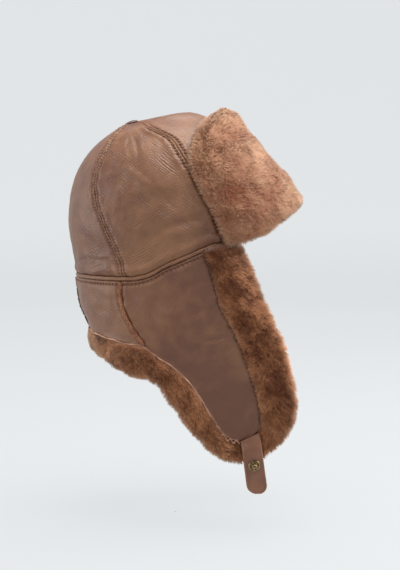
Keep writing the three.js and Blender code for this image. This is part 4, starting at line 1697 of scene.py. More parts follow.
@dataclass(frozen=True)
class Binding:
    """A thread wound round a welt."""

    pitch: float = 0.0024
    radius: float = 0.00042
    aside: float = 0.0013
    lift: float = 0.0008
    rise: float = 0.0012
    unevenness: float = 0.9
    slow: float = 0.004
    steps: int = 12
    sides: int = 5

    def wind(self, line: Array, normal: Array) -> Mesh:
        """Winds it along a line: centre = line + across cos + up (lift + sin) of a turn.

        Args:
            line: points along the welt.
            normal: the skin's normals there.

        Returns:
            The thread.
        """
        length = walk(line, 0)
        at = np.linspace(0, length[-1], int(length[-1] / self.pitch * self.steps))
        place, up = placed(at, length, line), placed(at, length, normal)
        across = unit(np.cross(np.gradient(place, axis=0), up))
        turn = (2 * np.pi * at / self.pitch + self.unevenness * np.sin(at / self.slow))[:, None]
        out = across * np.cos(turn) + up * np.sin(turn)
        centre = (place + across * self.aside * np.cos(turn)
                  + up * (self.lift + self.rise * np.sin(turn)))
        side = unit(np.cross(np.gradient(centre, axis=0), out))
        angle = 2 * np.pi * np.arange(self.sides)[:, None] / self.sides
        return tube(centre[:, None] + self.radius * (out[:, None] * np.cos(angle)
                                                     + side[:, None] * np.sin(angle)))


@dataclass(frozen=True)
class CutEdge:
    """The pale cut edge of the leather along a hem: a thin lip that stands off the fur."""

    stand: float = 0.0011
    wander: Gather = Gather(0.0005, 0.006, 1.0)
    drift: Gather = Gather(0.0004, 0.0043, 1.0)
    wave: float = 0.00062
    swing: float = 1.6
    slow: float = 0.005
    curl_out: float = 0.0010
    curl_aside: float = 0.0012
    inset: float = 0.0001
    width: float = 0.0010
    thickness: float = 0.0008
    sides: int = 8

    def lay(self, line: Array, normal: Array, across: Array, curl: Array) -> Mesh:
        """Lays the lip along a line, in curls whose strength is given.

        Args:
            line: points along the hem.
            normal: the skin's normals there.
            across: the direction from the leather to the fur.
            curl: how strongly it waves, along the line.

        Returns:
            The lip, with a mask cut that is strongest on its upper face.
        """
        length = walk(line, 0)
        phase = length / self.wave + self.swing * np.sin(length / self.slow)
        out = self.stand + self.wander(length) + self.curl_out * (1.3 + np.sin(phase)) * curl
        slide = self.curl_aside * (np.cos(0.5 * phase) + 0.8) * curl + self.drift(length)
        centre = line + normal * out[:, None] + across * (self.inset + slide)[:, None]
        angle = circle(self.sides)
        wide = self.width * (1 + 0.45 * ripple(line, 0.012, 91))[:, None] * np.cos(angle)
        thick = self.thickness * np.sin(angle)
        points = centre[:, None] + normal[:, None] * wide[..., None] + across[:, None] * thick[:, None]
        pale = 0.62 + 0.38 * np.clip(ripple(line, 0.014, 92), -1, 1)[:, None]
        return tube(points, cut=pale * (0.5 + 0.5 * smooth(np.cos(angle), -0.4, 0.4)))


@dataclass
class Skirt:
    """Neck and ear panels below the crown, with the strip, welts and cut edges of their seams."""

    crown: Crown
    finishes: Finishes
    ear_drop: float = 0.190
    ear_reach: float = 0.129
    skin: float = 0.0078
    strands: int = 3200
    row_away: float = 0.0038
    row_pitch: float = 0.0042
    row_mark: float = 0.0009
    row_pucker: float = 0.003
    front_away: float = 0.0024
    front_pitch: float = 0.005
    top_roll: Bells = Bells(((-0.0004, 0.0, 0.0008), (0.0007, 0.0018, 0.001),
                             (-0.0007, 0.0038, 0.0008), (0.0009, 0.008, 0.0036)))
    centre_roll: Bells = Bells(((-0.0008, 0.0, 0.0012), (0.0007, 0.005, 0.003)))
    neck_roll: Bells = Bells(((-0.0009, 0.0, 0.0014), (0.0009, 0.0055, 0.003)))
    ear_roll: Bells = Bells(((-0.0009, 0.0, 0.0014), (0.0010, 0.0055, 0.003)))
    front_roll: Bells = Bells(((-0.0005, 0.0, 0.0012), (0.0006, 0.006, 0.0035)))
    fuller: Bells = Bells(((0.0002, 0.008, 0.0036),))
    seam_gather: Gather = Gather(0.00045, 0.0019, 0.007)
    tip_gather: Gather = Gather(0.0009, 0.0016, 0.003)
    front_gather: Gather = Gather(0.0005, 0.0023, 0.006, 1.0, 0.011)
    strip_wave: Gather = Gather(0.00022, 0.0021, 1.0, 2.0, 0.012)
    welt_hair: Pile = Pile(count=36000, length=0.0016, width=0.00022, lean=0.7, clump=0.0016,
                           gather=0.5, seed=70)
    nape_end: float = 76.9
    neck_welt: tuple[float, float] = (0.0026, 0.0019)
    back_welt: tuple[float, float] = (0.0030, 0.0016)
    binding: Binding = Binding()
    lip: CutEdge = CutEdge()
    ear_curl: float = 1.2
    nape_curl: float = 0.18
    tip_front: float = 6.75
    tip_back: float = 8.0
    last: float = 13.0
    seam_share: float = 0.4
    rise_rows: float = 5.0
    rows: Table = Table("half front back frontPower backPower", [
        (-0.30, 1.000, 1.00, 1.000, 1.00, 1.00), (-0.16, 1.000, 1.00, 1.000, 1.00, 1.00),
        (0.00, 1.000, 1.15, 0.998, 0.94, 1.00), (0.16, 0.998, 1.48, 0.958, 0.78, 0.95),
        (0.28, 0.990, 1.66, 0.868, 0.64, 0.88), (0.40, 0.978, 1.76, 0.805, 0.52, 0.84),
        (0.58, 0.955, 1.80, 0.765, 0.42, 0.82), (0.82, 0.915, 1.80, 0.740, 0.38, 0.80),
        (1.15, 0.880, 1.80, 0.740, 0.36, 0.80)])
    neck: Table = Table("turn", [
        (0.00, 120.2), (0.20, 121.0), (0.42, 120.4), (0.62, 118.4), (0.80, 115.2), (1.00, 109.4)])
    nape: Table = Table("hem edge", [
        (0, 0.279, 0.412), (30, 0.300, 0.446), (50, 0.326, 0.496), (65, 0.343, 0.528),
        (71, 0.352, 0.533), (76.5, 0.386, 0.552)])
    trim: Table = Table("hemForward hemDrop edgeForward edgeDrop", [
        (0, 0.3875, -0.1655, 0.6335, -0.192), (1, 0.4535, -0.016, 0.7158, -0.032),
        (2, 0.5105, 0.142, 0.8045, 0.142), (3, 0.6026, 0.284, 0.8990, 0.321),
        (4, 0.6783, 0.453, 0.9650, 0.500), (5, 0.7475, 0.637, 1.0000, 0.684),
        (6, 0.7663, 0.768, 0.9495, 0.842), (7, 0.7288, 0.836, 0.7980, 0.963),
        (8, 0.6221, 0.870, 0.6335, 1.005), (9, 0.5138, 0.832, 0.4511, 0.953),
        (10, 0.4128, 0.703, 0.2800, 0.800), (11, 0.3118, 0.568, 0.1668, 0.666),
        (12, 0.2043, 0.474, 0.0944, 0.576), (13, 0.0593, 0.387, 0.0715, 0.553)])
    ear_folds: tuple[Fold, ...] = (
        Fold((-18, -62), (-66, -52), 2.4, 0.8), Fold((-22, -70), (-66, -58), -2.4, -0.8),
        Fold((-32, -80), (-68, -64), 2.2, 0.7), Fold((-26, -50), (-62, -46), -2.6, -0.6),
        Fold((-7, -46), (-42, -16), 4.0, 0.9), Fold((-14, -50), (-48, -24), -3.4, -0.8),
        Fold((0, -20), (-40, 2), -4.5, -0.8), Fold((-52, -84), (-70, -110), 2.4, 0.6),
        Fold((-58, -80), (-76, -104), -2.2, -0.6), Fold((-42, -112), (-56, -108), 3.0, 0.5),
        Fold((-46, -118), (-60, -130), -3.0, -0.5), Fold((10, -30), (-6, -74), 5.0, 0.9),
        Fold((-62, -132), (-72, -126), 2.4, 0.5))
    neck_folds: tuple[Fold, ...] = (
        Fold((78, -12), (50, -6), 4.0, 0.8), Fold((84, -30), (58, -44), -5.0, -1.0),
        Fold((64, -4), (56, -48), 4.0, 0.8), Fold((44, -8), (38, -50), -3.2, -0.7))
    falling: tuple[Fold, ...] = (
        Fold((-36, -100), (-52, -118), 9, 1), Fold((4, -60), (-16, -96), 9, 1),
        Fold((84, -6), (60, -40), 9, 1))
    rising: tuple[Fold, ...] = (
        Fold((2, -28), (-46, -4), 11, 1), Fold((-34, -74), (-70, -44), 11, 1),
        Fold((-50, -128), (-68, -116), 8, 1), Fold((-20, -56), (-60, -30), 9, 1),
        Fold((70, -40), (44, -14), 8, 1))

    def point(self, turn: Array, z: Array) -> Array:
        """Points on the outer face: x = -W half |sin|^power by side, y = -L reach cos turn.

        Args:
            turn: the turns.
            z: the heights.

        Returns:
            The points.
        """
        drop = -z / self.ear_drop
        angle = np.radians(turn)
        ahead, aside = np.cos(angle), np.sin(angle)
        reach = np.where(ahead > 0, self.rows("front", drop), self.rows("back", drop))
        power = np.where(ahead > 0, self.rows("frontPower", drop), self.rows("backPower", drop))
        x = -self.crown.half_width * self.rows("half", drop) * signed_power(aside, power)
        y = -self.crown.half_length * reach * ahead
        return np.stack(np.broadcast_arrays(x, y, z), -1)

    def normal(self, side: Side, turn: Array, z: Array) -> Array:
        """Outward normals at turns of 0 to 180 degrees on one side.

        Args:
            side: which side.
            turn: the turns.
            z: the heights.

        Returns:
            The normals.
        """
        inner = np.clip(turn, 1, 179)
        normal = surface_normals(self.point, inner, z, (0.5, 0.0005))
        return normal * (-side.value, 1, 1)

    def side_point(self, side: Side, turn: Array, z: Array) -> Array:
        """Points at turns of 0 to 180 degrees on one side."""
        return self.point(np.clip(turn, 0, 180), z) * (-side.value, 1, 1)

    def turn_at(self, y: Array, z: Array) -> Array:
        """The turn at a length and height: arccos of the share of the reach.

        Args:
            y: the lengths.
            z: the heights.

        Returns:
            The turns.
        """
        drop = -z / self.ear_drop
        reach = np.where(y < 0, self.rows("front", drop), self.rows("back", drop))
        return np.degrees(np.arccos(np.clip(-y / (self.crown.half_length * reach), -1, 1)))

    def on_face(self, side: Side, y: Array, z: Array, offset: Array = 0.0) -> Array:
        """Points at a length and height, an offset off the outer face.

        Args:
            side: which side.
            y: the lengths.
            z: the heights.
            offset: how far off the face.

        Returns:
            The points.
        """
        turn = self.turn_at(y, z)
        place = self.side_point(side, turn, z)
        return place + self.normal(side, turn, z) * np.asarray(offset)[..., None]

    def top(self, turn: Array) -> Array:
        """Height of the skirt's upper edge."""
        ahead = np.cos(np.radians(turn))
        return self.crown.edge_height(-self.crown.half_length * ahead) - self.crown.strip_height / 2

    def neck_seam(self, down: Array) -> tuple[Array, Array]:
        """The seam between neck and ear panel.

        Args:
            down: shares from its top (0) to the hem (1).

        Returns:
            Turns and heights.
        """
        turn = self.neck("turn", down)
        hem = -self.ear_drop * self.nape("hem", 180 - turn)
        return turn, blend(self.top(turn), hem, down)

    def side_place(self, forward: Array, drop: Array) -> tuple[Array, Array]:
        """A place by its share of the way to the front and of the drop.

        Args:
            forward: shares from the neck seam's end to the front.
            drop: shares of the ear flap's drop.

        Returns:
            Lengths and heights.
        """
        turn, z = self.neck_seam(np.array(1.0))
        start = self.point(turn, z)[..., 1]
        return blend(start, -self.ear_reach, forward), -self.ear_drop * drop

    def top_shortfall(self, y: Array, z: Array) -> Array:
        """How far the crown's edge lies above a place."""
        return self.crown.edge_height(y) - self.crown.strip_height / 2 - z

    def trim_line(self, line: str, at: Array) -> tuple[Array, Array]:
        """The trim's hem or edge line, whose first rows are raised to meet the crown.

        Args:
            line: "hem" or "edge".
            at: rows.

        Returns:
            Lengths and heights.
        """
        first = self.side_place(self.trim("hemForward", 0.0), self.trim("hemDrop", 0.0))
        rise = self.top_shortfall(*first) * np.maximum(0, 1 - at / self.rise_rows) ** 2
        y, z = self.side_place(self.trim(f"{line}Forward", at), self.trim(f"{line}Drop", at))
        return y, z + rise

    def ear_back(self, down: Array) -> tuple[Array, Array]:
        """The ear panel's back edge: down the neck seam, then along the hem to the tip.

        Args:
            down: shares from the crown (0) to the tip (1).

        Returns:
            Lengths and heights.
        """
        turn, z = self.neck_seam(np.minimum(down / self.seam_share, 1.0))
        seam = self.point(turn, z)
        past = np.maximum(down - self.seam_share, 0) / (1 - self.seam_share)
        at = blend(self.last, self.tip_back, past)
        hem = self.trim_line("hem", at)
        upper = down <= self.seam_share
        return np.where(upper, seam[..., 1], hem[0]), np.where(upper, z, hem[1])

    def top_count(self, body: Array, fallen: Array) -> Array:
        """How many stitches of the row below the crown lie before each column of a grid."""
        line, _ = row_at(body.swapaxes(0, 1), fallen.swapaxes(0, 1), self.row_away)
        return counted(line, self.row_pitch)[None]

    def top_row(self, *grids: Array) -> Mesh:
        """The row of stitches below the crown, from grids of points, normals and distances."""
        grids = (grid.swapaxes(0, 1) for grid in grids)
        return sewn(*grids, self.row_away, Thread(), self.row_pitch)

    def finish_panel(self, name: str, body: Array, normal: Array, relief: Array, seed: int,
                     **masks: Array) -> Array:
        """Makes a panel's piece from its plain grid, the leather's rise and its masks.

        Args:
            name: the piece's name.
            body: the grid of points of the plain outer face.
            normal: its normals.
            relief: how far the leather rises.
            seed: picks the wool's lumps.
            masks: masks over the grid.

        Returns:
            The outer grid.
        """
        relief = relief + rippled(body, seed, (0.0004, 0.026), (0.00014, 0.008))
        outer = body + normal * relief[..., None]
        inner = body - normal * (self.skin + wool_lumps(body, seed + 2))[..., None]
        # The inner wool's base is coloured part way to its dark roots: painted shade low in the pile.
        wall = shell(outer, inner, tip=0.35, shade=0.5, falling=creased(body, self.falling),
                     rising=creased(body, self.rising), **masks)
        mesh = woolly(wall, self.strands, seed + 5)
        mesh.piece(name, Slot.LEATHER, [self.finishes.leather, self.finishes.wool], name)
        return outer

    def neck_panel(self, side: Side) -> Mesh:
        """Builds a neck panel from the centre back seam to the ear panel.

        Args:
            side: which side.

        Returns:
            Its row of stitches below the crown.
        """
        across = edge_spaced(0.09, 0.0009, 0.0018, 0.008)
        down = edge_spaced(0.062, 0.0008, 0.0016, 0.010)
        down, across = np.meshgrid(down, across, indexing="ij")
        seam_turn, _ = self.neck_seam(down)
        turn = blend(180.0, seam_turn, across)
        hem = -self.ear_drop * self.nape("hem", 180 - turn)
        z = blend(self.top(turn), hem + 0.0004, down)
        body = self.side_point(side, turn, z)
        normal = self.normal(side, turn, z)
        normal = unit(normal * np.stack([smooth(across, 0, 0.03), np.ones_like(across),
                                         np.ones_like(across)], -1))
        onward = unit(np.gradient(body, axis=1))
        body = body + onward * (0.0002 * (0.5 - across))[..., None]
        walked, fallen = walk(body, 1), walk(body, 0)
        from_seam, below = walked[:, -1:] - walked, fallen[-1:] - fallen
        relief = (self.top_roll(fallen) + self.centre_roll(walked) + self.neck_roll(from_seam)
                  + 0.0007 * bell(below, 0.004) + sum(fold.lift(body) for fold in self.neck_folds)
                  + self.seam_gather(fallen, from_seam))
        from_row = fallen - self.row_away
        # Painted shade under the strip and along the seams.
        outer = self.finish_panel(
            f"neck_panel_{side.word}", body, normal, relief, 50 + side.value,
            row=0.7 * bell(from_row, self.row_mark), pucker=bell(from_row, self.row_pucker),
            stitch=self.top_count(body, fallen),
            crevice=np.clip(0.8 * bell(fallen, 0.0007) + 0.5 * bell(from_seam, 0.0012)
                            + 0.5 * bell(walked, 0.001), 0, 1),
            proud=0.4 * bell(fallen - 0.0018, 0.0009), cut=0.9 * bell(below, 0.0008))
        return self.top_row(outer, normal, fallen)

    def ear_panel(self, side: Side) -> Mesh:
        """Builds an ear panel between its back edge and the front trim.

        A row joins a point of the back edge to one of the front edge by a straight line, and
        the first row is lifted to the crown's edge.

        Args:
            side: which side.

        Returns:
            Its rows of stitches.
        """
        across = edge_spaced(0.075, 0.0009, 0.0017, 0.008)
        down = edge_spaced(0.19, 0.0008, 0.0019, 0.010)
        down = np.unique(np.concatenate([down, [self.seam_share]]))
        down, across = np.meshgrid(down, across, indexing="ij")
        back_y, back_z = self.ear_back(down)
        front_y, front_z = self.trim_line("hem", self.tip_front * down)
        share = blend(0.002, 0.997, across)
        y, z = blend(back_y, front_y, share), blend(back_z, front_z, share)
        top_back, top_front = self.ear_back(np.array(0.0)), self.trim_line("hem", 0.0)
        top = [blend(a, b, share) for a, b in zip(top_back, top_front)]
        ends = blend(self.top_shortfall(*top_back), self.top_shortfall(*top_front), share)
        z = z + (self.top_shortfall(*top) - ends) * (1 - down) ** 3
        turn = self.turn_at(y, z)
        body, normal = self.side_point(side, turn, z), self.normal(side, turn, z)
        walked, fallen = walk(body, 1), walk(body, 0)
        to_front = walked[:, -1:] - walked
        along = np.broadcast_to(fallen[:, :1], fallen.shape)
        front_along = np.broadcast_to(fallen[:, -1:], fallen.shape)
        seam = smooth(self.seam_share - down, -0.004, 0.004)
        tip = smooth(down, 0.9, 1.0)
        relief = (self.top_roll(fallen) + self.fuller(fallen)
                  + seam * (self.ear_roll(walked) + self.seam_gather(along, walked))
                  + (1 - seam) * (0.0008 * bell(walked, 0.0035)
                                  + tip * self.tip_gather(along, walked))
                  + self.front_roll(to_front) + self.front_gather(front_along, to_front)
                  + sum(fold.lift(body) for fold in self.ear_folds))
        edge, _ = row_at(body, to_front, self.front_away)
        broken = np.sin(front_along / 0.006 + np.sin(front_along / 0.0023))
        from_row, from_edge = fallen - self.row_away, to_front - self.front_away
        row, front_row = 0.7 * bell(from_row, self.row_mark), 0.6 * bell(from_edge, self.row_mark)
        # Painted shade over the whole panel, and more under the strip, along the neck seam and beside the
        # front trim.
        outer = self.finish_panel(
            f"ear_panel_{side.word}", body, normal, relief, 60 + side.value,
            row=np.maximum(row, front_row),
            stitch=np.where(row > front_row, self.top_count(body, fallen),
                            counted(edge, self.front_pitch)[:, None]),
            pucker=np.maximum(bell(from_row, self.row_pucker), 0.8 * bell(from_edge, self.row_pucker)),
            deep=np.full_like(walked, 0.26),
            crevice=np.clip(0.8 * bell(fallen, 0.0007) + 0.5 * seam * bell(walked, 0.0012)
                            + 0.25 * bell(to_front - 0.0012, 0.0006), 0, 1),
            proud=0.4 * bell(fallen - 0.0018, 0.0009),
            cut=np.clip((1 - seam) * 0.9 * bell(walked, 0.0008)
                        + 0.45 * bell(to_front, 0.0007) * (0.6 + 0.4 * broken), 0, 1))
        thread = self.top_row(outer, normal, fallen)
        return thread.join(sewn(outer, normal, to_front, self.front_away, Thread(radius=0.00036),
                                self.front_pitch, slice(-4)))

    def strip(self) -> None:
        """The folded strip in the crown's lower seam: a rounded section carried along the seam.

        The section stands out of the seam, with a dip along its middle.
        """
        stations = 340
        turn = np.linspace(62, 298, stations)[:, None]
        seam = self.crown.point(turn, np.array(1.0))
        normal = unit(self.crown.normal(turn, np.ones_like(turn)) * (1, 1, 0))
        length = walk(seam, 0)
        waves = self.strip_wave(length)
        half, stand = 0.0021, 0.0016
        section = np.array([(-0.0060, -1.05), (-0.0010, -1.05), (0.0, -1.0), (0.55, -0.86),
                            (0.93, -0.55), (1.0, -0.2), (0.94, 0.0), (1.0, 0.2), (0.93, 0.55),
                            (0.55, 0.86), (0.0, 1.0), (-0.0010, 1.05), (-0.0060, 1.05)])
        out = np.where(section[:, 0] < 0, section[:, 0], section[:, 0] * stand)
        out = out + waves * (section[:, 0] > 0)
        rise = section[:, 1] * half
        points = seam + normal * out[..., None]
        points[..., 2] += rise - self.crown.strip_height / 2 + 0.5 * waves
        proud = 0.5 * bell(np.abs(section[:, 1]) - 0.3, 0.25) * (section[:, 0] > 0.5)
        # Painted shade where the strip tucks into the seam and along the dip in its middle.
        crevice = 0.4 * (np.abs(section[:, 1]) > 0.9) + 0.25 * bell(section[:, 1], 0.08)
        mesh = tube(points, proud=proud, crevice=crevice)
        mesh.piece("seam_strip", Slot.LEATHER, [self.finishes.leather], "seam_strip")

    def welt(self, name: str, line: Array, normal: Array, size: tuple[float, float],
             finish: Material, seed: int) -> None:
        """A raw seam edge: a lumpy half-round section carried along a line, with short fuzz.

        Args:
            name: the name of the piece and of the CAD node it stands for.
            line: points along the seam.
            normal: the skin's normals there.
            size: the section's width and height.
            finish: its material.
            seed: picks its lumps.
        """
        width, rise = size
        along = unit(np.gradient(line, axis=0))
        across = unit(np.cross(along, normal))
        angle = circle(14)
        lumps = 1 + rippled(line, seed, (0.18, 0.004), (0.12, 0.0022))[:, None]
        aside = 0.5 * width * np.cos(angle) * lumps
        up = rise * (0.42 + 0.58 * np.sin(angle)) * lumps
        points = line[:, None] + across[:, None] * aside[..., None] + normal[:, None] * up[..., None]
        base = tube(points, tip=0.3, shade=0.5)
        base.normals = base.point_normals()
        count = int(walk(line, 0)[-1] * self.welt_hair.count)
        pile = replace(self.welt_hair, count=count, seed=seed)
        weight = np.concatenate([np.broadcast_to(np.clip(np.sin(angle) + 0.5, 0, 1), points.shape[:2])
                                 .ravel(), [0, 0]])
        base.join(pile.grow(base, np.array([0.0, 0.0, -1.0]), weight=weight))
        base.piece(name, Slot.WELT, [finish], name)

    def build(self) -> None:
        """Builds the panels, strip, welts and cut edges."""
        thread, winding = Mesh(), Mesh()
        for side in Side:
            thread.join(self.neck_panel(side))
            thread.join(self.ear_panel(side))
            down = np.linspace(0.03, 0.985, 90)
            turn, z = self.neck_seam(down)
            line, normal = self.side_point(side, turn, z), self.normal(side, turn, z)
            self.welt(f"neck_seam_welt_{side.word}", line, normal, self.neck_welt,
                      self.finishes.welt, 70 + side.value)
            winding.join(self.binding.wind(line, normal))
            back_turn = np.linspace(178.5, 180 - self.nape_end, 150)
            hem = -self.ear_drop * self.nape("hem", 180 - back_turn)
            line, normal = self.side_point(side, back_turn, hem), self.normal(side, back_turn, hem)
            down_skin = np.broadcast_to((0.0, 0.0, -1.0), line.shape)
            lips = {"nape": self.lip.lay(line, normal, down_skin, np.full(len(line), self.nape_curl))}
            at = np.linspace(self.last, self.tip_back + 0.05, 420)
            y, z = self.trim_line("hem", at)
            far_y, far_z = self.trim_line("edge", at)
            line = self.on_face(side, y, z)
            normal = self.normal(side, self.turn_at(y, z), z)
            across = unit(self.on_face(side, far_y, far_z) - line)
            curl = 0.1 + self.ear_curl * smooth(-at, -9.7, -9.1)
            lips["ear"] = self.lip.lay(line, normal, across, curl)
            for hem_name, lip in lips.items():
                lip.piece(f"{hem_name}_cut_edge_{side.word}", Slot.LEATHER, [self.finishes.leather])
        top, hem = float(self.top(np.array(180.0))), float(self.nape("hem", np.array(0.0)))
        z = np.linspace(top - MM, -hem * self.ear_drop + MM, 70)
        line = self.point(np.full_like(z, 180.0), z) * (0, 1, 1)
        normal = unit(self.normal(Side.RIGHT, np.full_like(z, 179.0), z) * (0, 1, 1))
        self.welt("back_seam_welt", line, normal, self.back_welt, self.finishes.shade_painted_welt, 80)
        self.strip()
        thread.piece("skirt_stitching", Slot.WELT, [self.finishes.thread])
        winding.piece("welt_stitching", Slot.WELT, [self.finishes.pale_thread])


@dataclass
class FurTrims:
    """The fur on the ear flaps' edges and the nape, swelling round the leather's hem."""

    skirt: Skirt
    finishes: Finishes
    stand: float = 0.010
    nape_stand: float = 0.006
    depth: float = 0.012
    roundness: float = 2.6
    pressed: float = 0.002
    pressed_reach: float = 0.85
    gap: float = 0.0004
    inset: float = 0.0034
    nape_end: float = 77.4
    ear_grid: tuple[int, int] = (190, 26)
    nape_grid: tuple[int, int] = (200, 24)
    hair: Pile = Pile(count=30000, length=0.0054, width=0.00050, lean=0.62, clump=0.0038,
                      gather=0.42, seed=100)

    def ring(self, angle: Array, width: Array, stand: Array) -> tuple[Array, Array]:
        """A rounded section: a superellipse, |cos|^p across by |sin|^p off the face.

        Args:
            angle: turns round the section.
            width: its width.
            stand: how far it stands off the face.

        Returns:
            The share across from the leather's edge to the fur's, and the offset.
        """
        power = 2 / self.roundness
        across = blend(self.gap / width, 1.0, (1 - signed_power(np.cos(angle), power)) / 2)
        return across, ((stand - self.depth) / 2
                        + (stand + self.depth) / 2 * signed_power(np.sin(angle), power))

    def trim_stand(self, at: Array) -> Array:
        """How far the fur stands off the face: the strap presses it down at the tip.

        Args:
            at: places along the ear flap's edge.

        Returns:
            The fur's height at each of them.
        """
        away = np.abs(at - (self.skirt.tip_front + self.skirt.tip_back) / 2)
        reach = self.pressed_reach
        return blend(self.pressed, self.stand, smooth(away, reach, 2 * reach))

    def cover(self, name: str, rings: Array, pile: Pile, comb: Array, weight: Array,
              away: Array, least: Array, tint: Array) -> None:
        """Makes a fur piece: a lumpy base inside the outer form, and strands out to it.

        The base and the strands' length shrink to the outer form beside the leather.

        Args:
            name: the piece's name, which is its CAD node's too.
            rings: the outer form, stations by ring points.
            pile: how the fur grows.
            comb: the direction in which it leans, over the rings.
            weight: how dense it is over the rings.
            away: share across from the leather's edge to the fur's edge, over the rings.
            least: the strands' length beside the leather, as a share, over the rings.
            tint: what is added to the strands' shade over the rings: painted light and shade, and colour
                patches.
        """
        free = smooth(away, 0.0, 0.3)
        # The base is coloured like the strands' roots: painted shade low in the pile.
        base = tube(rings, tip=0.12, shade=0.5, weight=weight, free=free, least=least, tint=tint)
        out = Mesh(base.points, base.faces[:1]).point_normals()
        lump = (0.0012 * ripple(base.points, 0.022, pile.seed)
                + 0.0006 * ripple(base.points, 0.010, pile.seed + 9))
        weight, free, least, tint = (base.masks.pop(mask)
                                     for mask in ("weight", "free", "least", "tint"))
        base.points = base.points - out * ((self.inset - lump) * free)[:, None]
        base.normals = base.point_normals()
        onward = unit(np.gradient(rings, axis=0))
        station = np.linspace(0, 1, len(rings))[:, None, None]
        comb = comb + 2.2 * onward * (smooth(station, 0.965, 1.0) - smooth(-station, -0.035, 0.0))
        comb = np.concatenate([comb.reshape(-1, 3), comb[[0, -1]].mean(1)])
        base.join(pile.grow(base, comb, weight=weight, stretch=blend(least, 1.0, free), tint=tint))
        base.piece(name, Slot.TRIM, [self.finishes.trim], name)

    def ear(self, side: Side) -> None:
        """Builds an ear flap's trim, with painted shade in front and painted light along its rim and
        behind.

        Args:
            side: which side.
        """
        stations, cells = self.ear_grid
        at = np.linspace(0, self.skirt.last, stations)[:, None]
        angle = (np.arange(cells) + 0.5)[None] / cells * 2 * np.pi
        hem, edge = self.skirt.trim_line("hem", at), self.skirt.trim_line("edge", at)
        width = np.hypot(hem[0] - edge[0], hem[1] - edge[1])
        across, offset = self.ring(angle, width, self.trim_stand(at))
        front = smooth(-at, -6.6, -5.8)
        gentle = blend(0.5, 1.0, smooth(across, 0.0, 0.25))
        offset = np.where(offset > 0, offset * gentle, offset)
        y, z = (blend(a, b, across) for a, b in zip(hem, edge))
        rings = self.skirt.on_face(side, y, z, offset)
        outside = smooth(np.sin(angle), -0.9, -0.1) * np.ones_like(at)
        weight = 0.45 + 0.55 * outside + 0.5 * front * bell(across - 0.05, 0.1)
        inward = unit(self.skirt.on_face(side, *hem) - self.skirt.on_face(side, *edge))
        over = smooth(-across, -0.3, 0.0) * blend(-1.5, 2.8, front)
        comb = np.array([0.0, -0.35, -1.0]) + inward * over[..., None]
        seed = self.hair.seed if side is Side.RIGHT else 140
        pile = replace(self.hair, seed=seed)
        # Painted shade on the front of the trim, painted light behind it and a painted rim light along
        # its outer edge, with random patches.
        rim = smooth(across, 0.78, 1.0)
        tint = blend(0.45, -0.5, front) * (1 - rim) + rim * blend(0.8, 1.8, front)
        tint = tint + 0.55 * ripple(rings, 0.034, seed + 20) * (1 - rim)
        self.cover(f"ear_trim_{side.word}", rings, pile, comb, weight, across,
                   blend(0.2, 0.85, front), tint)

    def nape(self) -> None:
        """Builds the nape trim from side to side."""
        stations, cells = self.nape_grid
        turned = np.linspace(-self.nape_end, self.nape_end, stations)[:, None]
        angle = (np.arange(cells) + 0.5)[None] / cells * 2 * np.pi
        away = np.abs(turned)
        hem, edge = (-self.skirt.ear_drop * self.skirt.nape(name, away) for name in ("hem", "edge"))
        stand = blend(self.nape_stand, self.stand, smooth(away, 30, 75))
        across, offset = self.ring(angle, hem - edge, stand)
        z = blend(hem, edge, across)
        turn = 180 - away * np.ones_like(z)
        flip = np.where(turned < 0, 1.0, -1.0)[..., None] * np.array([1, 0, 0]) + np.array([0, 1, 1])
        normal = self.skirt.normal(Side.RIGHT, turn, z)
        normal[..., 0] *= smooth(away, 0, 2.5)
        rings = (self.skirt.side_point(Side.RIGHT, turn, z) + unit(normal) * offset[..., None]) * flip
        weight = 0.45 + 0.55 * smooth(np.sin(angle), -0.9, -0.1) * np.ones_like(turned)
        pile = replace(self.hair, count=24000, length=0.0052, lean=0.6, seed=180)
        comb = np.broadcast_to(np.array([0.0, 0.1, -1.0]), rings.shape)
        # Painted light along the lower rim, with random patches.
        tint = 0.8 * smooth(across, 0.8, 1.0) + 0.4 * ripple(rings, 0.034, 190)
        self.cover("nape_trim", rings, pile, comb, weight, across, np.array(0.2), tint)

    def build(self) -> None:
        """Builds the three trims."""
        for side in Side:
            self.ear(side)
        self.nape()


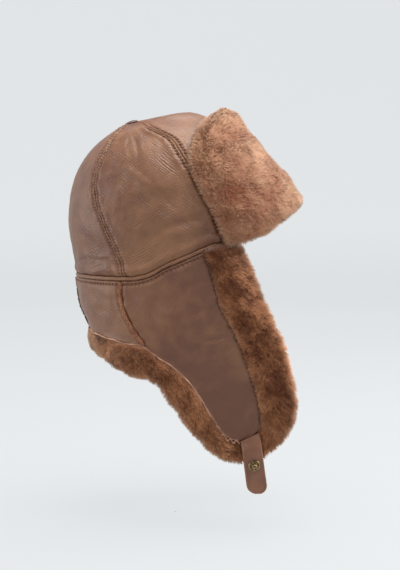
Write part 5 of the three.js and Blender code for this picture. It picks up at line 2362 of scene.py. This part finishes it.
@dataclass
class BrowFlap:
    """The flap turned up over the brow, fur outward, against the crown's front."""

    crown: Crown
    finishes: Finishes
    fold: float = 1.03
    sag: float = 0.03
    top: float = 0.225
    fur: float = 0.030
    roundness: float = 6.0
    clearance: float = 0.0008
    lean: float = 0.005
    inset: float = 0.0035
    grid: tuple[int, int] = (60, 96)
    hair: Pile = Pile(count=43000, length=0.0056, width=0.00056, lean=0.66, clump=0.0040,
                      gather=0.32, seed=210, swirl=0.45, sway=0.10)
    rows: Table = Table("end middle side", [
        (0.20, 22, 0.75, 0.50), (0.25, 34, 0.81, 0.46), (0.33, 53, 0.81, 0.42),
        (0.42, 63, 0.75, 0.40), (0.52, 69, 0.68, 0.40), (0.63, 69.5, 0.66, 0.40),
        (0.77, 66, 0.80, 0.42), (0.90, 62.5, 1.04, 0.46), (1.00, 61, 1.17, 0.52),
        (1.20, 60, 1.17, 0.54)])

    def face(self, a: Array, b: Array, outside: bool) -> Array:
        """Points of the outer or inner face.

        The height above the crown runs from a seat at the rim to the fur's full height by a
        rounded bulge, ((1 - |a|^p)(1 - |b|^p))^(1/p).

        Args:
            a: places across, from -1 to 1.
            b: places up, from -1 to 1.
            outside: whether it is the outer face.

        Returns:
            The points.
        """
        fold = self.fold + self.sag * (1 - a * a)
        t = blend(fold, self.top, (b + 1) / 2)
        turn = a * self.rows("end", t)
        fur = self.fur * blend(self.rows("middle", t), self.rows("side", t), np.abs(a) ** 2.5)
        rest = self.clearance + self.lean * (b + 1) / 2 * (1 - a * a)
        seat = blend(rest, fur, 0.3)
        p = self.roundness * (1 if outside else 2)
        bulge = (np.maximum(0, 1 - np.abs(a) ** p) * np.maximum(0, 1 - np.abs(b) ** p)) ** (1 / p)
        height = blend(seat, fur if outside else rest, bulge)
        normal = sum(self.crown.normal(turn, t + step) for step in (-0.08, -0.04, 0.0, 0.04, 0.08))
        return self.crown.point(turn, t) + unit(normal) * height[..., None]

    def tint(self, points: Array, height: Array, aside: Array, tuft: Array) -> Array:
        """What is added to the strands' shade: painted light high up, in the middle and along the lower
        edge, painted shade toward the ends lower down, and patches and flecks.

        Args:
            points: places on the base.
            height: how high they are, from -1 to 1.
            aside: how far aside, from 0 to 1.
            tuft: how tufted the fur is there.

        Returns:
            The tint there.
        """
        rear = bell(aside - 0.72, 0.15) * smooth(-height, -0.6, -0.2)
        return (0.45 * smooth(height, 0.3, 0.8) + 0.4 * smooth(-aside, -0.6, -0.2) - 1.1 * rear
                + 2.4 * tuft * np.clip(ripple(points, 0.008, 205), -0.2, 1)
                + 0.45 * ripple(points, 0.034, 206) - 0.6 + 0.6 * smooth(-height, 0.4, 0.9))

    def build(self) -> None:
        """Builds the base inside the outer form and grows the fur on it."""
        rows, cells = self.grid
        up = np.sin((np.linspace(0, 1, rows)[:, None] - 0.5) * np.pi)
        across = np.sin((np.linspace(0, 1, cells)[None] - 0.5) * np.pi)
        b, a = np.broadcast_arrays(up, across)
        outer, inner = relaxed(self.face(a, b, True), 12), self.face(a, b, False)
        count = rows * cells
        number = np.arange(count).reshape(rows, cells)
        edge = np.ones((rows, cells), bool)
        edge[1:-1, 1:-1] = False
        under = np.where(edge, number, number + count)
        front = grid_faces(rows, cells)
        points = np.concatenate([outer.reshape(-1, 3), inner.reshape(-1, 3)])
        back = under.ravel()[front][:, ::-1]
        used = np.unique(np.concatenate([front.ravel(), back.ravel()]))
        renumber = np.zeros(2 * count, int)
        renumber[used] = np.arange(len(used))
        # The base is coloured most of the way to the tips, so the painted shade at the roots stays light
        # in the gaps between strands.
        base = Mesh().add(points[used], [(renumber[np.concatenate([front, back])], 0)],
                          tip=np.full(len(used), 0.8), shade=np.full(len(used), 0.5))
        base.turned_out()
        out = base.point_normals()
        lump = rippled(base.points, 200, (0.0010, 0.030), (0.0004, 0.012))
        base.points = base.points - out * (self.inset - lump)[:, None]
        base.normals = base.point_normals()
        weight = np.where(used < count, 1.0, 0.12)
        height, aside = (np.tile(place.ravel(), 2)[used] for place in (b, np.abs(a)))
        rim, crest = smooth(aside, 0.78, 0.98), smooth(height, 0.8, 1.0)
        comb = np.array([0.0, -0.7, -0.7]) + rim[:, None] * np.array([0.0, 2.4, 0.1])
        tuft = 0.3 * bell(aside - 0.84, 0.13) * smooth(-height, -0.55, -0.2)
        tint = self.tint(base.points, height, aside, tuft)
        base.join(self.hair.grow(base, comb, weight=weight, stretch=1 + 0.3 * rim - 0.6 * crest,
                                 tint=tint, tuft=tuft))
        base.piece("brow_flap", Slot.BROW, [self.finishes.brow], "brow_flap")


@dataclass
class Straps:
    """The chin straps with their snap's stud on the right and cap on the left."""

    skirt: Skirt
    finishes: Finishes
    width: float = 0.0215
    thickness: float = 0.0026
    length: float = 0.061
    swing: float = 0.009
    pressed: float = 0.002
    gap: float = 0.0004
    bend: float = 0.0032
    rounding: float = 0.84
    edge_radius: float = 0.0011
    crease: Bells = Bells(((0.0003, 0.0022, 0.0005),))
    raised: Bells = Bells(((0.0010, 0.12, 0.09),))
    snap_down: float = 0.029
    snap_radius: float = 0.0062
    nub_radius: float = 0.0025
    nub_height: float = 0.0032

    def place(self, down: Array, across: Array) -> tuple[Array, Array]:
        """Length and height on the strap, whose end is a half circle of its width.

        Args:
            down: shares down the strap.
            across: shares across it.

        Returns:
            Lengths and heights.
        """
        back = self.skirt.trim_line("hem", np.array(self.skirt.tip_back))
        front = self.skirt.trim_line("hem", np.array(self.skirt.tip_front))
        past = np.clip((down - self.rounding) / (1.005 - self.rounding), 0, 1)
        rounding = np.sqrt(1 - past ** 2)
        middle = [(p + q) / 2 for p, q in zip(back, front)]
        end_y = middle[0] - self.swing + (0.5 - across) * self.width * rounding
        y = blend(blend(back[0], front[0], across), end_y, down)
        z = blend(blend(back[1], front[1], across) - self.gap, middle[1] - self.length, down)
        return y, z

    def stand(self, down: Array) -> Array:
        """How far the strap's back lies off the skirt's face: over the fur, with a bend.

        Args:
            down: shares down the strap.

        Returns:
            The distance there.
        """
        over = smooth(down, 0, 0.2)
        past = smooth(down, 0.45, 1)
        return (self.gap + over * (self.pressed + self.gap) - past * self.pressed
                + self.bend * bell(down - 0.27, 0.19))

    def strap(self, side: Side) -> None:
        """A flat band with rounded edges, a line pressed in beside them and a bend at its top.

        Args:
            side: which side.
        """
        curve = np.sin(np.linspace(0, np.pi / 2, 26))
        down = np.concatenate([np.linspace(0, self.rounding, 56)[:-1],
                               blend(self.rounding, 1.0, curve)])
        across = edge_spaced(self.width, 0.0004, 0.0012, 0.0024)
        down, across = np.meshgrid(down, across, indexing="ij")
        y, z = self.place(down, across)
        face = self.skirt.on_face(side, y, z, self.stand(down))
        normal = self.skirt.normal(side, self.skirt.turn_at(y, z), z)
        walked = walk(face, 1)
        rim = np.minimum(walked, walked[:, -1:] - walked)
        end = (1 - down) * self.length
        rim = np.minimum(rim, np.where(down > 0.8, end, 1.0))
        round_off = np.sqrt(np.clip(1 - (1 - np.clip(rim / self.edge_radius, 0, 1)) ** 2, 0, 1))
        soft = 0.00018 * ripple(face, 0.011, 300) + self.raised(down)
        half = self.thickness / 2
        outer = face + normal * (half + half * round_off - self.crease(rim) + soft)[..., None]
        inner = face + normal * (half - half * round_off)[..., None]
        # Painted shade in the line pressed in beside the edges.
        mesh = shell(outer, inner, proud=0.6 * bell(rim - 0.0009, 0.0007),
                     crevice=0.35 * bell(rim - 0.0022, 0.0005))
        name = f"strap_{side.word}"
        mesh.piece(name, Slot.STRAP, [self.finishes.strap, self.finishes.strap], name)

    def surface(self, side: Side, down: Array, across: Array) -> Array:
        """Points on the strap's outer face, by shares down it and across it."""
        return self.skirt.on_face(side, *self.place(down, across), self.stand(down) + self.thickness)

    def turned(self, name: str, side: Side, profile: Sequence[tuple[float, float]],
               proud: Sequence[float]) -> None:
        """A round metal piece turned about its axis and seated on the strap.

        Args:
            name: the piece's name and CAD node.
            side: which strap it is on.
            profile: radius and height of each ring, in millimetres, from the axis to the axis.
            proud: how rubbed each ring is.
        """
        radius, height = (np.array(values) * MM for values in zip(*profile))
        angle = circle(48)
        down = np.array(self.snap_down / self.length)
        half = np.array(0.5)
        along = self.surface(side, down + 0.03, half) - self.surface(side, down - 0.03, half)
        aside = self.surface(side, down, half + 0.1) - self.surface(side, down, half - 0.1)
        axis = unit(np.cross(along, aside))
        axis = axis * np.sign(axis[0] * side.value)
        seat = self.surface(side, down, half) + axis * self.gap
        first = unit(np.cross(axis, (0.0, 0.0, 1.0)))
        second = np.cross(axis, first)
        points = seat + axis * height[:, None, None] + radius[:, None, None] * (
            first * np.cos(angle)[None, :, None] + second * np.sin(angle)[None, :, None])
        mesh = tube(points, proud=np.array(proud)[:, None])
        mesh.piece(name, Slot.BRASS, [self.finishes.brass], name)

    def build(self) -> None:
        """Builds both straps, the stud and the cap."""
        for side in Side:
            self.strap(side)
        r, n = self.snap_radius / MM, self.nub_radius / MM
        top = self.nub_height / MM
        stud = [(0.02, 0.0), (0.96 * r, 0.0), (r, 0.15), (r, 0.55), (0.95 * r, 0.78), (0.86 * r, 0.82),
                (0.80 * r, 0.62), (0.66 * r, 0.60), (0.60 * r, 0.86), (0.52 * r, 0.90),
                (0.47 * r, 0.62), (1.2 * n, 0.60), (1.02 * n, 0.72), (0.86 * n, 1.2), (0.88 * n, 1.6),
                (n, 0.72 * top), (1.0 * n, 0.84 * top), (0.86 * n, 0.95 * top), (0.6 * n, top),
                (0.35 * n, top), (0.25 * n, 0.93 * top), (0.02, 0.91 * top)]
        rubbed = [0, 0, 0.5, 0.9, 1, 0.6, 0, 0, 0.8, 0.8, 0, 0, 0, 0, 0.3, 1, 1, 1, 0.8, 0.5, 0.1, 0]
        self.turned("snap_stud_right", Side.RIGHT, stud, rubbed)
        cap = [(0.02, 0.0), (0.95 * r, 0.0), (1.02 * r, 0.12), (1.06 * r, 0.5), (1.02 * r, 0.85),
               (0.94 * r, 1.0), (0.90 * r, 0.92), (0.86 * r, 1.05), (0.74 * r, 1.55), (0.5 * r, 1.98),
               (0.25 * r, 2.2), (0.02, 2.28)]
        self.turned("snap_cap_left", Side.LEFT, cap, [0, 0, 0.5, 1, 0.9, 0.5, 0, 0.1, 0.4, 0.6, 0.7, 0.7])


@dataclass
class Studio:
    """A plain pale bowl of a stage, soft lights and the camera."""

    target: Place = (0.0, -0.0275, -0.0088)
    azimuth: float = 270.0
    elevation: float = 4.0
    distance: float = 1.2
    lens: float = 68.9
    floor: float = -0.262
    flat: float = 2.4
    curve: float = 1.4
    wall: float = 4.2
    lamps: tuple[tuple[str, Place, float, float, Place], ...] = (
        ("top_light", (-0.1, -0.3, 1.3), 1.1, 30, (1.0, 0.99, 0.97)),
        ("front_light", (0.25, -1.6, 0.5), 1.0, 22, (1.0, 0.99, 0.98)),
        ("back_light", (-0.2, 1.6, 0.3), 1.0, 11, (0.95, 0.98, 1.0)))

    def camera(self) -> None:
        """Puts the camera a distance from the target, at its azimuth and elevation."""
        turn, rise = np.radians(self.azimuth), np.radians(self.elevation)
        ahead = Vector((-np.sin(turn) * np.cos(rise), np.cos(turn) * np.cos(rise), -np.sin(rise)))
        data = bpy.data.cameras.new("camera")
        data.lens = self.lens
        camera = bpy.data.objects.new("camera", data)
        bpy.context.scene.collection.objects.link(camera)
        camera.location = Vector(self.target) - ahead * self.distance
        camera.rotation_euler = ahead.to_track_quat("-Z", "Y").to_euler()
        bpy.context.scene.camera = camera

    def stage(self) -> None:
        """A floor that curves up into a wall all round: a profile turned about the upright axis."""
        bend = np.linspace(0, np.pi / 2, 25)
        far = self.flat + self.curve
        out = np.concatenate([[0.001, 0.8, 1.6, 2.2], self.flat + self.curve * np.sin(bend), [far] * 2])
        up = np.concatenate([np.zeros(4), self.curve * (1 - np.cos(bend)), [2.6, self.wall]])
        up = up + self.floor
        angle = circle(96)
        across, ahead = out[:, None] * np.cos(angle), out[:, None] * np.sin(angle)
        points = np.stack(np.broadcast_arrays(across, ahead, up[:, None]), -1)
        data = bpy.data.meshes.new("stage")
        faces = grid_faces(len(out), len(angle), closed=True)
        data.from_pydata(points.reshape(-1, 3).tolist(), [], faces.tolist())
        data.polygons.foreach_set("use_smooth", np.ones(len(faces), bool))
        stage = bpy.data.objects.new("stage", data)
        bpy.context.scene.collection.objects.link(stage)
        made, w, shader = new_material("stage_paper", Roughness=0.9,
                                       Emission_Color=(0.955, 0.985, 1.0, 1))
        place = w.place()
        w.feed(shader.inputs["Base Color"],
               w.mix(w.noise(place, 2.0, 2), shade(72, 73, 74), shade(78, 79, 80)))
        above = w.read(w.add("ShaderNodeSeparateXYZ", Vector=place), "Z")
        w.feed(shader.inputs["Emission Strength"],
               w.maths("MULTIPLY_ADD", w.spread(above, self.floor, 0.02), 0.055, 0.668))
        data.materials.append(made)

    def light(self, name: str, place: Place, size: float, power: float, colour: Place) -> None:
        """Adds a soft square light that faces the target.

        Args:
            name: its name.
            place: where it stands.
            size: its width.
            power: in watts.
            colour: red, green and blue.
        """
        data = bpy.data.lights.new(name, "AREA")
        data.size = size
        data.energy = power
        data.color = colour
        lamp = bpy.data.objects.new(name, data)
        bpy.context.scene.collection.objects.link(lamp)
        lamp.location = place
        lamp.rotation_euler = (Vector(self.target) - Vector(place)).to_track_quat("-Z", "Y").to_euler()
        lamp.visible_camera = False

    def build(self) -> None:
        """Builds the camera, stage, lights and sky."""
        self.camera()
        self.stage()
        for lamp in self.lamps:
            self.light(*lamp)
        world = bpy.data.worlds.new("sky")
        world.use_nodes = True
        background = world.node_tree.nodes["Background"]
        background.inputs["Color"].default_value = (0.93, 0.96, 1.0, 1)
        background.inputs["Strength"].default_value = 0.4
        scene = bpy.context.scene
        scene.world = world
        scene.view_settings.view_transform = "Standard"


def main() -> None:
    """Builds the studio, then the helmet from the inside out."""
    logging.basicConfig(level=logging.INFO, format="%(name)s %(message)s")
    Studio().build()
    finishes = Finishes()
    crown = Crown(finishes)
    crown.build()
    skirt = Skirt(crown, finishes)
    skirt.build()
    FurTrims(skirt, finishes).build()
    BrowFlap(crown, finishes).build()
    Straps(skirt, finishes).build()


if __name__ == "__main__":
    main()
